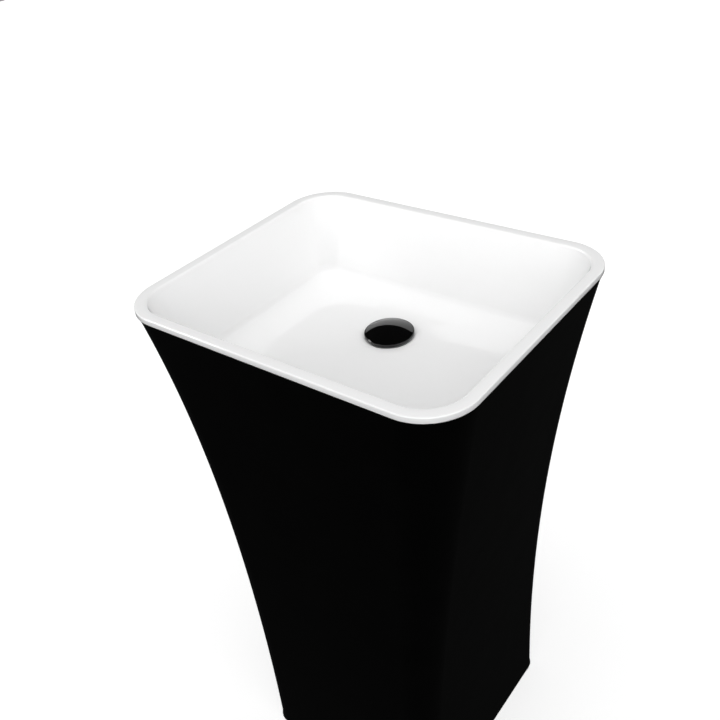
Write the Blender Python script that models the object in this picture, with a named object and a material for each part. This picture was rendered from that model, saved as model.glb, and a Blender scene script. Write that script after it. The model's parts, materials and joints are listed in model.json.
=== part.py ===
"""Freestanding pedestal sink: a white cast bowl on a black flared shell, with its waste and bottle trap."""

import math

import bmesh
import bpy
from mathutils import Matrix, Vector

# ---------------------------------------------------------------- driving dimensions (metres)
WIDTH = 0.500
DEPTH = 0.420
HEIGHT = 0.850
GAP = 0.0003  # clearance kept between pieces that touch

# Bowl
RIM_CORNER = 0.065  # corner radius of the rim, seen from above
LIP_HEIGHT = 0.0078
RIM_LAND = 0.015  # flat top of the rim
RIM_EDGE = 0.0015  # rounding of the rim's inner and outer edges
BOWL_DEPTH = 0.1000  # rim to the foot of the walls
WALL_DRAFT_X = 0.038  # how far each side wall leans in over the bowl's depth
WALL_DRAFT_Y = 0.046
INNER_CORNER_TOP = 0.050
INNER_CORNER_FLOOR = 0.024
FLOOR_FILLET = 0.011
FLOOR_FALL = 0.0045  # from the foot of the walls to the waste
BOWL_WALL = 0.0085
BOWL_FILLET_OUT = 0.018
SPIGOT_DEPTH = 0.014  # upright collar under the lip that drops into the shell

# Shell
SHELL_STEP = 0.0015  # the shell stands back this far under the lip
SHELL_WALL = 0.010
BASE_WIDTH = 0.330
BASE_DEPTH = 0.356
BASE_CORNER = 0.030
FLARE_POWER_X = 2.04  # how quickly the side walls sweep in below the lip
FLARE_POWER_Y = 4.4
SHELL_STATIONS = 12
BOND_THICKNESS = 0.0015
SEAL_HEIGHT = 0.003
SEAL_INSET = 0.0015

# Service opening in the rear wall
SERVICE_WIDTH = 0.190
SERVICE_BOTTOM = 0.300
SERVICE_TOP = 0.640
SERVICE_CORNER = 0.030

# Waste
WASTE_Y = 0.037  # the waste sits behind the middle of the bowl
WASTE_HOLE_GAP = 0.0021  # round the waste where it passes through the bowl
RECESS_RADIUS = 0.0340
RECESS_DEPTH = 0.0030
BOSS_RADIUS = 0.0400
BOSS_THICKNESS = 0.0120
FLANGE_RADIUS = 0.0325
FLANGE_THICKNESS = 0.0015
FLANGE_SEAL_THICKNESS = 0.0012
FLANGE_EDGE = 0.0007
WASTE_MOUTH = 0.0015  # chamfer at the top of the bore
SEAL_SETBACK = 0.001  # a seal stops this far inside the edge of what presses it
WASTE_RADIUS = 0.0209
WASTE_WALL = 0.0029
WASTE_LENGTH = 0.0760
CROSSBAR_DROP = 0.0353  # below the flange
CROSSBAR_THICKNESS = 0.004
CROSSBAR_WIDTH = 0.009
UNDER_SEAL_THICKNESS = 0.0045
UNDER_SEAL_RADIUS = 0.033
UNDER_SEAL_TAPER = 0.003
SLIP_WASHER_RADIUS = 0.031
WASHER_THICKNESS = 0.0015
BACKNUT_HEIGHT = 0.011
BACKNUT_RADIUS = 0.030

# Click cap
CAP_RADIUS = 0.0345
CAP_RISE = 0.0068  # height of the dome above the upright edge
CAP_EDGE = 0.0040
CAP_EDGE_ROUND = 0.0012
CAP_GAP = 0.0020  # between the shut cap and the floor of the bowl
CAP_BOSS_RADIUS = 0.0070
CAP_BOSS_DEPTH = 0.0060
CAP_SEAL_RADIUS = 0.0240
STEM_RADIUS = 0.0034
STEM_COLLAR_RADIUS = 0.0051
STEM_COLLAR_HEIGHT = 0.003
STEM_SOCKET = 0.002  # how far the stem enters the cap above its underside
HOUSING_RADIUS = 0.0068
HOUSING_BORE = 0.0056
HOUSING_FLOOR = 0.0025
HOUSING_COLLAR = 0.0050
HOUSING_STUD_RADIUS = 0.0036
STUD_SHOW = 0.004  # end of the stud below the crossbar
SPRING_SHUT = 0.0055
CAP_TRAVEL = 0.0080
SPRING_RADIUS = 0.0046
SPRING_WIRE = 0.0004
SPRING_TURNS = 5

# Bottle trap
PIPE_RADIUS = 0.0160
PIPE_WALL = 0.0015
NUT_LIP = 0.003
NUT_EDGE = 0.0015
NUT_WALL = 0.0060
CONE_WASHER = 0.004
CONE_TAPER = 0.0020
INLET_NUT_HEIGHT = 0.022
FLAT_WASHER = 0.0020
PIPE_FLANGE = 0.0020
TRAP_TOP_DROP = 0.042  # from the waste's end to the top of the trap
TRAP_RADIUS = 0.0305
TRAP_WALL = 0.0028
TRAP_NECK_WALL = 0.0055
TRAP_NECK_HEIGHT = 0.020
TRAP_SHOULDER = 0.006  # height of the slope from the neck to the trap's side
TRAP_SHOULDER_ROUND = 0.003
TRAP_SHOULDER_FALL = 0.002
BRANCH_OVERLAP = 0.001
BRANCH_BORE_START = 0.004  # outside the dip pipe
TRAP_HEIGHT = 0.088
CUP_GRIP_WALL = 0.0057  # thickness of the cup where it screws over the trap
CUP_WALL = 0.0028
CUP_HEIGHT = 0.082
CUP_GRIP = 0.0060  # depth of the grip band below the seal
CUP_WAIST = 0.0030  # the cup is this much slimmer below its grip band
CUP_WAIST_SLOPE = 0.004
CUP_FOOT_RISE = 0.012
CUP_FOOT_EDGE = 0.003
CUP_FOOT_TAPER = 0.014
CUP_EDGE = 0.001
CUP_THREAD = 0.016  # length of the trap that the cup screws over
CUP_SEAL_THICKNESS = 0.002
DIP_DEPTH = 0.036  # the pipe's end below the trap's body, inside the cup
OUTLET_CLEAR = 0.0025  # between the cup's top and the outlet branch
OUTLET_REACH = 0.060  # from the trap's axis to the outlet's mouth
OUTLET_WALL = 0.0035
OUTLET_NUT_LENGTH = 0.022
ROSETTE_RADIUS = 0.034
ROSETTE_DEPTH = 0.008
ROSETTE_COLLAR = 0.0035  # width of its flat front round the pipe
ROSETTE_SLOPE = 0.008
ROSETTE_EDGE = 0.0012
OUTLET_ENTRY = 0.020  # length of pipe inside the trap's branch
WALL_SETBACK = 0.0005  # the rosette stops this far short of the rim's rear edge

# Floor brackets
BRACKET_THICKNESS = 0.003
BRACKET_WIDTH = 0.070
BRACKET_LEG = 0.045
BRACKET_CORNER = 0.006
BRACKET_FOOT = 0.042
BRACKET_ANCHOR_HOLE = 0.0045
BRACKET_ANCHOR_IN = 0.023  # from the upright's outer face to the anchor hole
BRACKET_SCREW_SPACING = 0.040
BRACKET_SCREW_HEIGHT = 0.030
INSERT_RADIUS = 0.0048
INSERT_DEPTH = 0.0065
SCREW_RADIUS = 0.0029
SCREW_HEAD_RADIUS = 0.0055
SCREW_HEAD_HEIGHT = 0.0035

# Facets
CORNER_STEPS = 7
HOLE_REACH = 0.01
CAP_STEPS = 32
ROUND_STEPS = 24
SMALL_STEPS = 12
SMOOTH_ANGLE = math.radians(35)

# ---------------------------------------------------------------- heights worked out from them
SHELL_TOP = HEIGHT - LIP_HEIGHT - GAP
SHELL_BOTTOM = SEAL_HEIGHT + GAP
FLOOR_EDGE_Z = HEIGHT - BOWL_DEPTH
FLOOR_Z = FLOOR_EDGE_Z - FLOOR_FALL
RECESS_Z = FLOOR_Z - RECESS_DEPTH
UNDERSIDE_Z = FLOOR_Z - BOSS_THICKNESS
FLANGE_BOTTOM = RECESS_Z + 2 * GAP + FLANGE_SEAL_THICKNESS
FLANGE_TOP = FLANGE_BOTTOM + FLANGE_THICKNESS
WASTE_END = FLANGE_TOP - WASTE_LENGTH
CROSSBAR_TOP = FLANGE_TOP - CROSSBAR_DROP
CAP_BOTTOM = FLOOR_Z + CAP_GAP
HOUSING_BOTTOM = CROSSBAR_TOP + GAP
HOUSING_BORE_FLOOR = HOUSING_BOTTOM + HOUSING_FLOOR
STEM_BOTTOM = HOUSING_BORE_FLOOR + SPRING_SHUT + 2 * GAP
HOUSING_TOP = STEM_BOTTOM + STEM_COLLAR_HEIGHT + CAP_TRAVEL + 2 * GAP + HOUSING_COLLAR
WASTE_HOLE = WASTE_RADIUS + WASTE_HOLE_GAP
WASTE_BORE = WASTE_RADIUS - WASTE_WALL
INLET_NUT_RADIUS = WASTE_RADIUS + NUT_WALL
TRAP_NECK_RADIUS = PIPE_RADIUS + TRAP_NECK_WALL
TRAP_TOP_NUT_RADIUS = TRAP_NECK_RADIUS + NUT_WALL
CUP_RADIUS = TRAP_RADIUS + CUP_GRIP_WALL
OUTLET_RADIUS = PIPE_RADIUS + OUTLET_WALL
OUTLET_NUT_RADIUS = OUTLET_RADIUS + NUT_WALL
TRAP_TOP = WASTE_END - TRAP_TOP_DROP
TRAP_BOTTOM = TRAP_TOP - TRAP_HEIGHT
CUP_TOP = TRAP_BOTTOM + CUP_THREAD
CUP_BOTTOM = CUP_TOP - CUP_HEIGHT
OUTLET_Z = CUP_TOP + OUTLET_CLEAR + OUTLET_RADIUS
OUTLET_MOUTH = WASTE_Y + OUTLET_REACH
WALL_Y = DEPTH / 2 - WALL_SETBACK


# ---------------------------------------------------------------- scene and materials
def clear_scene():
    for obj in list(bpy.data.objects):
        bpy.data.objects.remove(obj, do_unlink=True)


def make_material(name, colour, roughness, metallic=0.0):
    material = bpy.data.materials.new(name)
    material.use_nodes = True
    shader = material.node_tree.nodes["Principled BSDF"]
    shader.inputs["Base Color"].default_value = (*colour, 1.0)
    shader.inputs["Roughness"].default_value = roughness
    shader.inputs["Metallic"].default_value = metallic
    return material


def make_materials():
    return {
        "white_gelcoat": make_material("white_gelcoat", (0.86, 0.86, 0.86), 0.08),
        "black_gelcoat": make_material("black_gelcoat", (0.006, 0.006, 0.007), 0.30),
        "black_enamel": make_material("black_enamel", (0.004, 0.004, 0.005), 0.05),
        "bonding_paste": make_material("bonding_paste", (0.02, 0.02, 0.02), 0.6),
        "black_rubber": make_material("black_rubber", (0.012, 0.012, 0.012), 0.7),
        "chromed_brass": make_material("chromed_brass", (0.62, 0.63, 0.65), 0.08, 1.0),
        "bare_brass": make_material("bare_brass", (0.62, 0.43, 0.16), 0.3, 1.0),
        "zinc_steel": make_material("zinc_steel", (0.55, 0.56, 0.57), 0.35, 1.0),
        "spring_steel": make_material("spring_steel", (0.5, 0.5, 0.52), 0.25, 1.0),
        "white_plastic": make_material("white_plastic", (0.75, 0.75, 0.74), 0.35),
    }


def add_object(name, mesh, material, origin=(0.0, 0.0, 0.0)):
    """Links a mesh that was made in world coordinates as an object whose origin is at the given point."""
    mesh.transform(Matrix.Translation(-Vector(origin)))
    mesh.set_sharp_from_angle(angle=SMOOTH_ANGLE)
    mesh.materials.append(material)
    obj = bpy.data.objects.new(name, mesh)
    obj.location = origin
    bpy.context.scene.collection.objects.link(obj)
    return obj


def mesh_from(bm, name):
    bmesh.ops.remove_doubles(bm, verts=bm.verts, dist=1e-6)
    bmesh.ops.recalc_face_normals(bm, faces=bm.faces)
    if bm.calc_volume(signed=True) < 0:
        bmesh.ops.reverse_faces(bm, faces=bm.faces)
    mesh = bpy.data.meshes.new(name)
    bm.to_mesh(mesh)
    bm.free()
    mesh.shade_smooth()
    return mesh


# ---------------------------------------------------------------- shape makers
def loft(stations):
    """Closed wall through rounded rectangles of (half width, half depth, corner radius, centre y, z)."""
    bm = bmesh.new()
    rings = [add_ring(bm, *station) for station in stations]
    for lower, upper in zip(rings, rings[1:] + rings[:1]):
        for i in range(len(lower)):
            bm.faces.new((lower[i - 1], lower[i], upper[i], upper[i - 1]))
    return bm


def add_ring(bm, half_x, half_y, corner, centre_y, z):
    corner = min(corner, half_x - GAP, half_y - GAP)
    verts = []
    for quarter, (side_x, side_y) in enumerate(((1, 1), (-1, 1), (-1, -1), (1, -1))):
        for step in range(CORNER_STEPS + 1):
            angle = math.radians(90 * (quarter + step / CORNER_STEPS))
            x = side_x * (half_x - corner) + corner * math.cos(angle)
            y = side_y * (half_y - corner) + corner * math.sin(angle)
            verts.append(bm.verts.new((x, y + centre_y, z)))
    return verts


def turned(profile, centre, steps=ROUND_STEPS, axis="Z"):
    """Spins a closed outline of (radius, height) points about an axis through the centre."""
    bm = bmesh.new()
    verts = [bm.verts.new((radius, 0.0, height)) for radius, height in profile]
    edges = [bm.edges.new((verts[i], verts[(i + 1) % len(verts)])) for i in range(len(verts))]
    edges = [edge for edge in edges if max(v.co.x for v in edge.verts) > 1e-6]
    bmesh.ops.spin(
        bm,
        geom=verts + edges,
        cent=(0.0, 0.0, 0.0),
        axis=(0.0, 0.0, 1.0),
        angle=math.tau,
        steps=steps,
        use_merge=True,
    )
    bmesh.ops.remove_doubles(bm, verts=bm.verts, dist=1e-6)
    loose = [edge for edge in bm.edges if not edge.link_faces]
    bmesh.ops.delete(bm, geom=loose, context="EDGES")
    if axis == "Y":
        bmesh.ops.rotate(bm, verts=bm.verts, matrix=Matrix.Rotation(math.radians(-90), 3, "X"))
    if axis == "X":
        bmesh.ops.rotate(bm, verts=bm.verts, matrix=Matrix.Rotation(math.radians(90), 3, "Y"))
    bmesh.ops.translate(bm, verts=bm.verts, vec=centre)
    return bm


def tube_outline(inner, outer, bottom, top):
    return [(outer, top), (outer, bottom), (inner, bottom), (inner, top)]


def hole_outline(radius):
    """A plug that cuts a hole through a plate up to twice HOLE_REACH thick."""
    return [(radius, HOLE_REACH), (radius, -HOLE_REACH), (0.0, -HOLE_REACH), (0.0, HOLE_REACH)]


def nut_outline(inner, outer, bottom, top, lip_inner=None):
    """A slip nut: a bevelled sleeve, with an inward lip at its bottom if it has one."""
    edge, ledge = NUT_EDGE, bottom + NUT_LIP
    points = [(outer - edge, top), (outer, top - edge), (outer, bottom + edge), (outer - edge, bottom)]
    if lip_inner is None:
        return points + [(inner, bottom), (inner, top)]
    return points + [(lip_inner, bottom), (lip_inner, ledge), (inner, ledge), (inner, top)]


def box(low, high, bevel=0.0, bevel_axis=None):
    """A box between two corners, with the edges along one axis rounded."""
    bm = bmesh.new()
    size = Vector(high) - Vector(low)
    centre = (Vector(high) + Vector(low)) / 2
    bmesh.ops.create_cube(bm, size=1.0, matrix=Matrix.Translation(centre) @ Matrix.Diagonal((*size, 1.0)))
    if bevel:
        index = "XYZ".index(bevel_axis)
        edges = [e for e in bm.edges if abs((e.verts[0].co - e.verts[1].co)[index]) > size[index] / 2]
        bmesh.ops.bevel(
            bm,
            geom=edges,
            offset=bevel,
            segments=5,
            profile=0.5,
            affect="EDGES",
            clamp_overlap=True,
            material=-1,
        )
    return bm


def combine(obj, bm, operation):
    """Cuts another closed shape out of an object, or joins it on, and applies the change."""
    cutter = bpy.data.objects.new("cutter", mesh_from(bm, "cutter"))
    bpy.context.scene.collection.objects.link(cutter)
    modifier = obj.modifiers.new("combine", "BOOLEAN")
    modifier.operation = operation
    modifier.solver = "EXACT"
    modifier.object = cutter
    bpy.context.view_layer.update()
    graph = bpy.context.evaluated_depsgraph_get()
    made = bpy.data.meshes.new_from_object(obj.evaluated_get(graph))
    obj.modifiers.remove(modifier)
    old = obj.data
    obj.data = made
    bpy.data.meshes.remove(old)
    bpy.data.objects.remove(cutter, do_unlink=True)
    clean = bmesh.new()
    clean.from_mesh(made)
    bmesh.ops.remove_doubles(clean, verts=clean.verts, dist=2e-6)
    bmesh.ops.dissolve_degenerate(clean, edges=clean.edges, dist=2e-6)
    clean.to_mesh(made)
    clean.free()
    made.set_sharp_from_angle(angle=SMOOTH_ANGLE)


def fillet(before, corner, after, radius, steps):
    """Points along an arc that rounds the corner between two straight runs."""
    start = (Vector(before) - Vector(corner)).normalized()
    end = (Vector(after) - Vector(corner)).normalized()
    half = start.angle(end) / 2
    reach = radius / math.tan(half)
    centre = Vector(corner) + (start + end).normalized() * (radius / math.sin(half))
    first = Vector(corner) + start * reach - centre
    last = Vector(corner) + end * reach - centre
    turn = first.angle_signed(last)
    points = []
    for step in range(steps + 1):
        points.append(centre + Matrix.Rotation(-turn * step / steps, 2) @ first)
    return [tuple(point) for point in points]


# ---------------------------------------------------------------- bowl
def wall_half(inset, level):
    """Half width, half depth and corner radius of the inner wall, for inset 0 at the rim to 1 at its foot."""
    half_x = WIDTH / 2 - RIM_LAND - WALL_DRAFT_X * inset
    half_y = DEPTH / 2 - RIM_LAND - WALL_DRAFT_Y * inset
    share = min(1.0, max(0.0, (HEIGHT - level) / BOWL_DEPTH))
    corner = INNER_CORNER_TOP + (INNER_CORNER_FLOOR - INNER_CORNER_TOP) * share
    return half_x, half_y, corner


def inner_wall_stations():
    """From the foot of the wall, round the floor fillet and up to the rim."""
    draft = (WALL_DRAFT_X + WALL_DRAFT_Y) / 2
    foot = (draft, -BOWL_DEPTH)
    arc = fillet((draft + 0.05, -BOWL_DEPTH), foot, (0.0, 0.0), FLOOR_FILLET, 4)
    stations = []
    for run, level in arc:
        stations.append((*wall_half(run / draft, HEIGHT + level), 0.0, HEIGHT + level))
    stations.append((*wall_half(0.5, HEIGHT - BOWL_DEPTH / 2), 0.0, HEIGHT - BOWL_DEPTH / 2))
    half_x, half_y, corner = wall_half(0.0, HEIGHT)
    stations.append((half_x, half_y, corner, 0.0, HEIGHT - RIM_EDGE))
    stations.append((half_x + RIM_EDGE, half_y + RIM_EDGE, corner + RIM_EDGE, 0.0, HEIGHT))
    return stations


def lip_stations():
    """The rim's outer edge, the lip and the collar that drops into the shell."""
    half_x, half_y = WIDTH / 2, DEPTH / 2
    edge = RIM_EDGE / 2
    under_lip = HEIGHT - LIP_HEIGHT
    rows = [
        (RIM_EDGE, HEIGHT),
        (0.3 * RIM_EDGE, HEIGHT - 0.3 * RIM_EDGE),
        (0.0, HEIGHT - RIM_EDGE),
        (0.0, under_lip + edge),
        (edge, under_lip),
    ]
    stations = [(half_x - inset, half_y - inset, RIM_CORNER - inset, 0.0, z) for inset, z in rows]
    collar = SHELL_WALL + BOND_THICKNESS + 2 * GAP
    stations.append((*shell_station(SHELL_TOP, collar)[:4], under_lip))
    stations.append(shell_station(under_lip - SPIGOT_DEPTH, collar))
    return stations


def outer_wall_stations():
    """The bowl's underside, one wall thickness outside its inner surface."""
    draft = (WALL_DRAFT_X + WALL_DRAFT_Y) / 2
    level = -BOWL_DEPTH - BOWL_WALL
    foot = (-draft * level / BOWL_DEPTH - BOWL_WALL, level)
    arc = fillet((-BOWL_WALL, 0.0), foot, (foot[0] + 0.05, level), BOWL_FILLET_OUT, 3)
    stations = []
    for run, z in arc:
        half_x, half_y, corner = wall_half(run / draft, HEIGHT + z)
        stations.append((half_x, half_y, corner + BOWL_WALL, 0.0, HEIGHT + z))
    return stations


def circle_station(radius, z):
    return (radius, radius, radius, WASTE_Y, z)


def blend_stations(first, last, steps):
    """Stations evenly between two, which turn the rectangular floor into the round waste."""
    rows = []
    for step in range(1, steps):
        share = step / steps
        rows.append(tuple(a + (b - a) * share for a, b in zip(first, last)))
    return rows


def make_basin(materials):
    walls = inner_wall_stations()
    rim_of_recess = circle_station(RECESS_RADIUS + GAP, FLOOR_Z)
    under = outer_wall_stations()
    stations = [circle_station(WASTE_HOLE, RECESS_Z), circle_station(RECESS_RADIUS, RECESS_Z), rim_of_recess]
    stations += blend_stations(rim_of_recess, walls[0], 4)
    stations += walls + lip_stations() + under
    boss = circle_station(BOSS_RADIUS, UNDERSIDE_Z)
    stations += blend_stations(under[-1], boss, 3)
    stations += [boss, circle_station(WASTE_HOLE, UNDERSIDE_Z)]
    add_object("basin", mesh_from(loft(stations), "basin"), materials["white_gelcoat"])


# ---------------------------------------------------------------- shell
def shell_station(z, inset=0.0):
    """Rounded rectangle of the shell at a height, taken in by an inset from its outer face."""
    drop = (SHELL_TOP - z) / SHELL_TOP
    sweep_x = 1 - (1 - drop) ** FLARE_POWER_X
    sweep_y = 1 - (1 - drop) ** FLARE_POWER_Y
    top_x, top_y = WIDTH / 2 - SHELL_STEP, DEPTH / 2 - SHELL_STEP
    half_x = top_x + (BASE_WIDTH / 2 - top_x) * sweep_x
    half_y = top_y + (BASE_DEPTH / 2 - top_y) * sweep_y
    corner = RIM_CORNER + (BASE_CORNER - RIM_CORNER) * drop
    return (half_x - inset, half_y - inset, corner - inset, 0.0, z)


def shell_heights():
    """Closer together near the top, where the wall curves most."""
    span = SHELL_TOP - SHELL_BOTTOM
    return [SHELL_TOP - span * (step / SHELL_STATIONS) ** 1.3 for step in range(SHELL_STATIONS + 1)]


def make_shell(materials):
    heights = shell_heights()
    stations = [shell_station(z) for z in heights]
    stations += [shell_station(z, SHELL_WALL) for z in reversed(heights)]
    shell = add_object("pedestal_shell", mesh_from(loft(stations), "shell"), materials["black_gelcoat"])
    low = (-SERVICE_WIDTH / 2, WASTE_Y + BOSS_RADIUS, SERVICE_BOTTOM)
    high = (SERVICE_WIDTH / 2, DEPTH, SERVICE_TOP)
    combine(shell, box(low, high, SERVICE_CORNER, "Y"), "DIFFERENCE")
    for side in (-1, 1):
        for y in screw_rows():
            inner = side * (bracket_face() - GAP)
            pocket = turned(
                [(0.0, INSERT_DEPTH + 2 * GAP), (INSERT_RADIUS + GAP, INSERT_DEPTH + 2 * GAP),
                 (INSERT_RADIUS + GAP, -SHELL_WALL), (0.0, -SHELL_WALL)],
                (0.0, 0.0, 0.0), SMALL_STEPS, "X")
            place_sideways(pocket, side, inner, y)
            combine(shell, pocket, "DIFFERENCE")


def make_seals(materials):
    """The paste that bonds the bowl's collar into the shell, and the strip that the shell stands on."""
    top = SHELL_TOP
    bottom = HEIGHT - LIP_HEIGHT - SPIGOT_DEPTH
    near, far = SHELL_WALL + GAP, SHELL_WALL + GAP + BOND_THICKNESS
    rows = [shell_station(top, near), shell_station(bottom, near), shell_station(bottom, far),
            shell_station(top, far)]
    add_object("rim_bond", mesh_from(loft(rows), "rim_bond"), materials["bonding_paste"])
    rows = [(SEAL_INSET, SEAL_HEIGHT), (SEAL_INSET, 0.0), (SHELL_WALL, 0.0), (SHELL_WALL, SEAL_HEIGHT)]
    seal = loft([(*shell_station(SHELL_BOTTOM, inset)[:4], z) for inset, z in rows])
    add_object("floor_seal", mesh_from(seal, "floor_seal"), materials["black_rubber"])


# ---------------------------------------------------------------- floor brackets
def bracket_face():
    """How far the inner face of a side wall is from the middle, at the height of the bracket's top."""
    return shell_station(SHELL_BOTTOM, SHELL_WALL)[0]


def screw_rows():
    return (-BRACKET_SCREW_SPACING / 2, BRACKET_SCREW_SPACING / 2)


def place_sideways(bm, side, x, y):
    """Puts a piece turned about X against a side wall, pointing outwards."""
    if side < 0:
        bmesh.ops.rotate(bm, verts=bm.verts, matrix=Matrix.Rotation(math.pi, 3, "Z"))
    bmesh.ops.translate(bm, verts=bm.verts, vec=(x, y, BRACKET_SCREW_HEIGHT))


def make_brackets(materials):
    for side, label in ((-1, "left"), (1, "right")):
        face = bracket_face() - GAP
        leg = [side * (face - BRACKET_THICKNESS), side * face]
        foot = [side * (face - BRACKET_FOOT), side * face]
        half = BRACKET_WIDTH / 2
        low_z = GAP
        upright = box((min(leg), -half, low_z), (max(leg), half, BRACKET_LEG), BRACKET_CORNER, "X")
        plate = box((min(foot), -half, low_z), (max(foot), half, low_z + BRACKET_THICKNESS))
        bracket = add_object("floor_bracket_" + label, mesh_from(upright, "bracket"), materials["zinc_steel"])
        combine(bracket, plate, "UNION")
        middle_of_foot = (side * (face - BRACKET_ANCHOR_IN), 0.0, low_z)
        anchor = turned(hole_outline(BRACKET_ANCHOR_HOLE), middle_of_foot, SMALL_STEPS)
        combine(bracket, anchor, "DIFFERENCE")
        for number, y in enumerate(screw_rows(), 1):
            hole = turned(hole_outline(SCREW_RADIUS + 2 * GAP), (0.0, 0.0, 0.0), SMALL_STEPS, "X")
            place_sideways(hole, side, side * (face - BRACKET_THICKNESS / 2), y)
            combine(bracket, hole, "DIFFERENCE")
            make_insert(materials, side, label, number, y)
            make_bracket_screw(materials, side, label, number, y)


def make_insert(materials, side, label, number, y):
    """A knurled threaded sleeve bonded into the shell's wall."""
    sleeve = turned(
        [(SCREW_RADIUS + GAP, INSERT_DEPTH), (INSERT_RADIUS, INSERT_DEPTH), (INSERT_RADIUS, GAP),
         (SCREW_RADIUS + GAP, GAP)], (0.0, 0.0, 0.0), SMALL_STEPS, "X")
    place_sideways(sleeve, side, side * bracket_face(), y)
    name = "threaded_insert_%s_%d" % (label, number)
    origin = (side * bracket_face(), y, BRACKET_SCREW_HEIGHT)
    add_object(name, mesh_from(sleeve, name), materials["bare_brass"], origin)


def make_bracket_screw(materials, side, label, number, y):
    """A dome-headed screw through the bracket into its insert."""
    head = -BRACKET_THICKNESS - 2 * GAP
    tip = INSERT_DEPTH - 2 * GAP
    outline = [
        (0.0, tip), (SCREW_RADIUS, tip), (SCREW_RADIUS, head), (SCREW_HEAD_RADIUS, head),
        (SCREW_HEAD_RADIUS, head - 0.4 * SCREW_HEAD_HEIGHT),
        (0.7 * SCREW_HEAD_RADIUS, head - 0.85 * SCREW_HEAD_HEIGHT), (0.0, head - SCREW_HEAD_HEIGHT),
    ]
    screw = turned(outline, (0.0, 0.0, 0.0), SMALL_STEPS, "X")
    place_sideways(screw, side, side * bracket_face(), y)
    name = "bracket_screw_%s_%d" % (label, number)
    origin = (side * bracket_face(), y, BRACKET_SCREW_HEIGHT)
    add_object(name, mesh_from(screw, name), materials["zinc_steel"], origin)


# ---------------------------------------------------------------- waste
def add_turned(name, outline, material, steps=ROUND_STEPS):
    """A round piece on the waste's axis, with its origin on that axis at its lowest point."""
    centre = (0.0, WASTE_Y, 0.0)
    origin = (0.0, WASTE_Y, min(height for _, height in outline))
    return add_object(name, mesh_from(turned(outline, centre, steps), name), material, origin)


def make_waste(materials):
    seal_bottom = RECESS_Z + GAP
    seal_top = seal_bottom + FLANGE_SEAL_THICKNESS
    add_turned("flange_seal", tube_outline(WASTE_RADIUS + GAP, FLANGE_RADIUS - SEAL_SETBACK, seal_bottom, seal_top),
               materials["black_rubber"])
    outline = [
        (WASTE_BORE + WASTE_MOUTH, FLANGE_TOP), (FLANGE_RADIUS - FLANGE_EDGE, FLANGE_TOP),
        (FLANGE_RADIUS, FLANGE_TOP - FLANGE_EDGE), (FLANGE_RADIUS, FLANGE_BOTTOM),
        (WASTE_RADIUS, FLANGE_BOTTOM), (WASTE_RADIUS, WASTE_END), (WASTE_BORE, WASTE_END),
        (WASTE_BORE, FLANGE_TOP - WASTE_MOUTH),
    ]
    body = add_turned("waste_body", outline, materials["chromed_brass"])
    reach = (WASTE_BORE + WASTE_RADIUS) / 2
    low = (-reach, WASTE_Y - CROSSBAR_WIDTH / 2, CROSSBAR_TOP - CROSSBAR_THICKNESS)
    high = (reach, WASTE_Y + CROSSBAR_WIDTH / 2, CROSSBAR_TOP)
    combine(body, box(low, high), "UNION")
    stud_hole = turned(hole_outline(HOUSING_STUD_RADIUS + GAP), (0.0, WASTE_Y, CROSSBAR_TOP), SMALL_STEPS)
    combine(body, stud_hole, "DIFFERENCE")
    top = UNDERSIDE_Z - GAP
    bottom = top - UNDER_SEAL_THICKNESS
    add_turned("under_seal", [(UNDER_SEAL_RADIUS, top), (UNDER_SEAL_RADIUS - UNDER_SEAL_TAPER, bottom),
                              (WASTE_RADIUS + GAP, bottom), (WASTE_RADIUS + GAP, top)],
               materials["black_rubber"])
    top = bottom - GAP
    bottom = top - WASHER_THICKNESS
    add_turned("slip_washer", tube_outline(WASTE_RADIUS + GAP, SLIP_WASHER_RADIUS, bottom, top),
               materials["white_plastic"])
    top = bottom - GAP
    bottom = top - BACKNUT_HEIGHT
    nut = nut_outline(WASTE_RADIUS + GAP, BACKNUT_RADIUS, bottom, top)
    add_turned("backnut", nut, materials["chromed_brass"])


def make_click(materials):
    bore_floor = HOUSING_BORE_FLOOR
    stud_end = CROSSBAR_TOP - CROSSBAR_THICKNESS - STUD_SHOW
    collar_bottom = HOUSING_TOP - HOUSING_COLLAR
    add_turned("click_housing", [
        (HOUSING_RADIUS, collar_bottom - GAP), (HOUSING_RADIUS, HOUSING_BOTTOM),
        (HOUSING_STUD_RADIUS, HOUSING_BOTTOM), (HOUSING_STUD_RADIUS, stud_end), (0.0, stud_end),
        (0.0, bore_floor), (HOUSING_BORE, bore_floor), (HOUSING_BORE, collar_bottom - GAP),
    ], materials["bare_brass"], SMALL_STEPS)
    add_turned("click_collar", tube_outline(STEM_RADIUS + GAP, HOUSING_RADIUS, collar_bottom, HOUSING_TOP),
               materials["white_plastic"], SMALL_STEPS)
    stem_bottom = STEM_BOTTOM
    stem_top = CAP_BOTTOM + STEM_SOCKET
    add_turned("cap_stem", [
        (0.0, stem_top), (STEM_RADIUS, stem_top), (STEM_RADIUS, stem_bottom + STEM_COLLAR_HEIGHT),
        (STEM_COLLAR_RADIUS, stem_bottom + STEM_COLLAR_HEIGHT), (STEM_COLLAR_RADIUS, stem_bottom),
        (0.0, stem_bottom),
    ], materials["bare_brass"], SMALL_STEPS)
    make_spring(materials, bore_floor + GAP, stem_bottom - GAP)
    make_cap(materials, stem_top)


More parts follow.
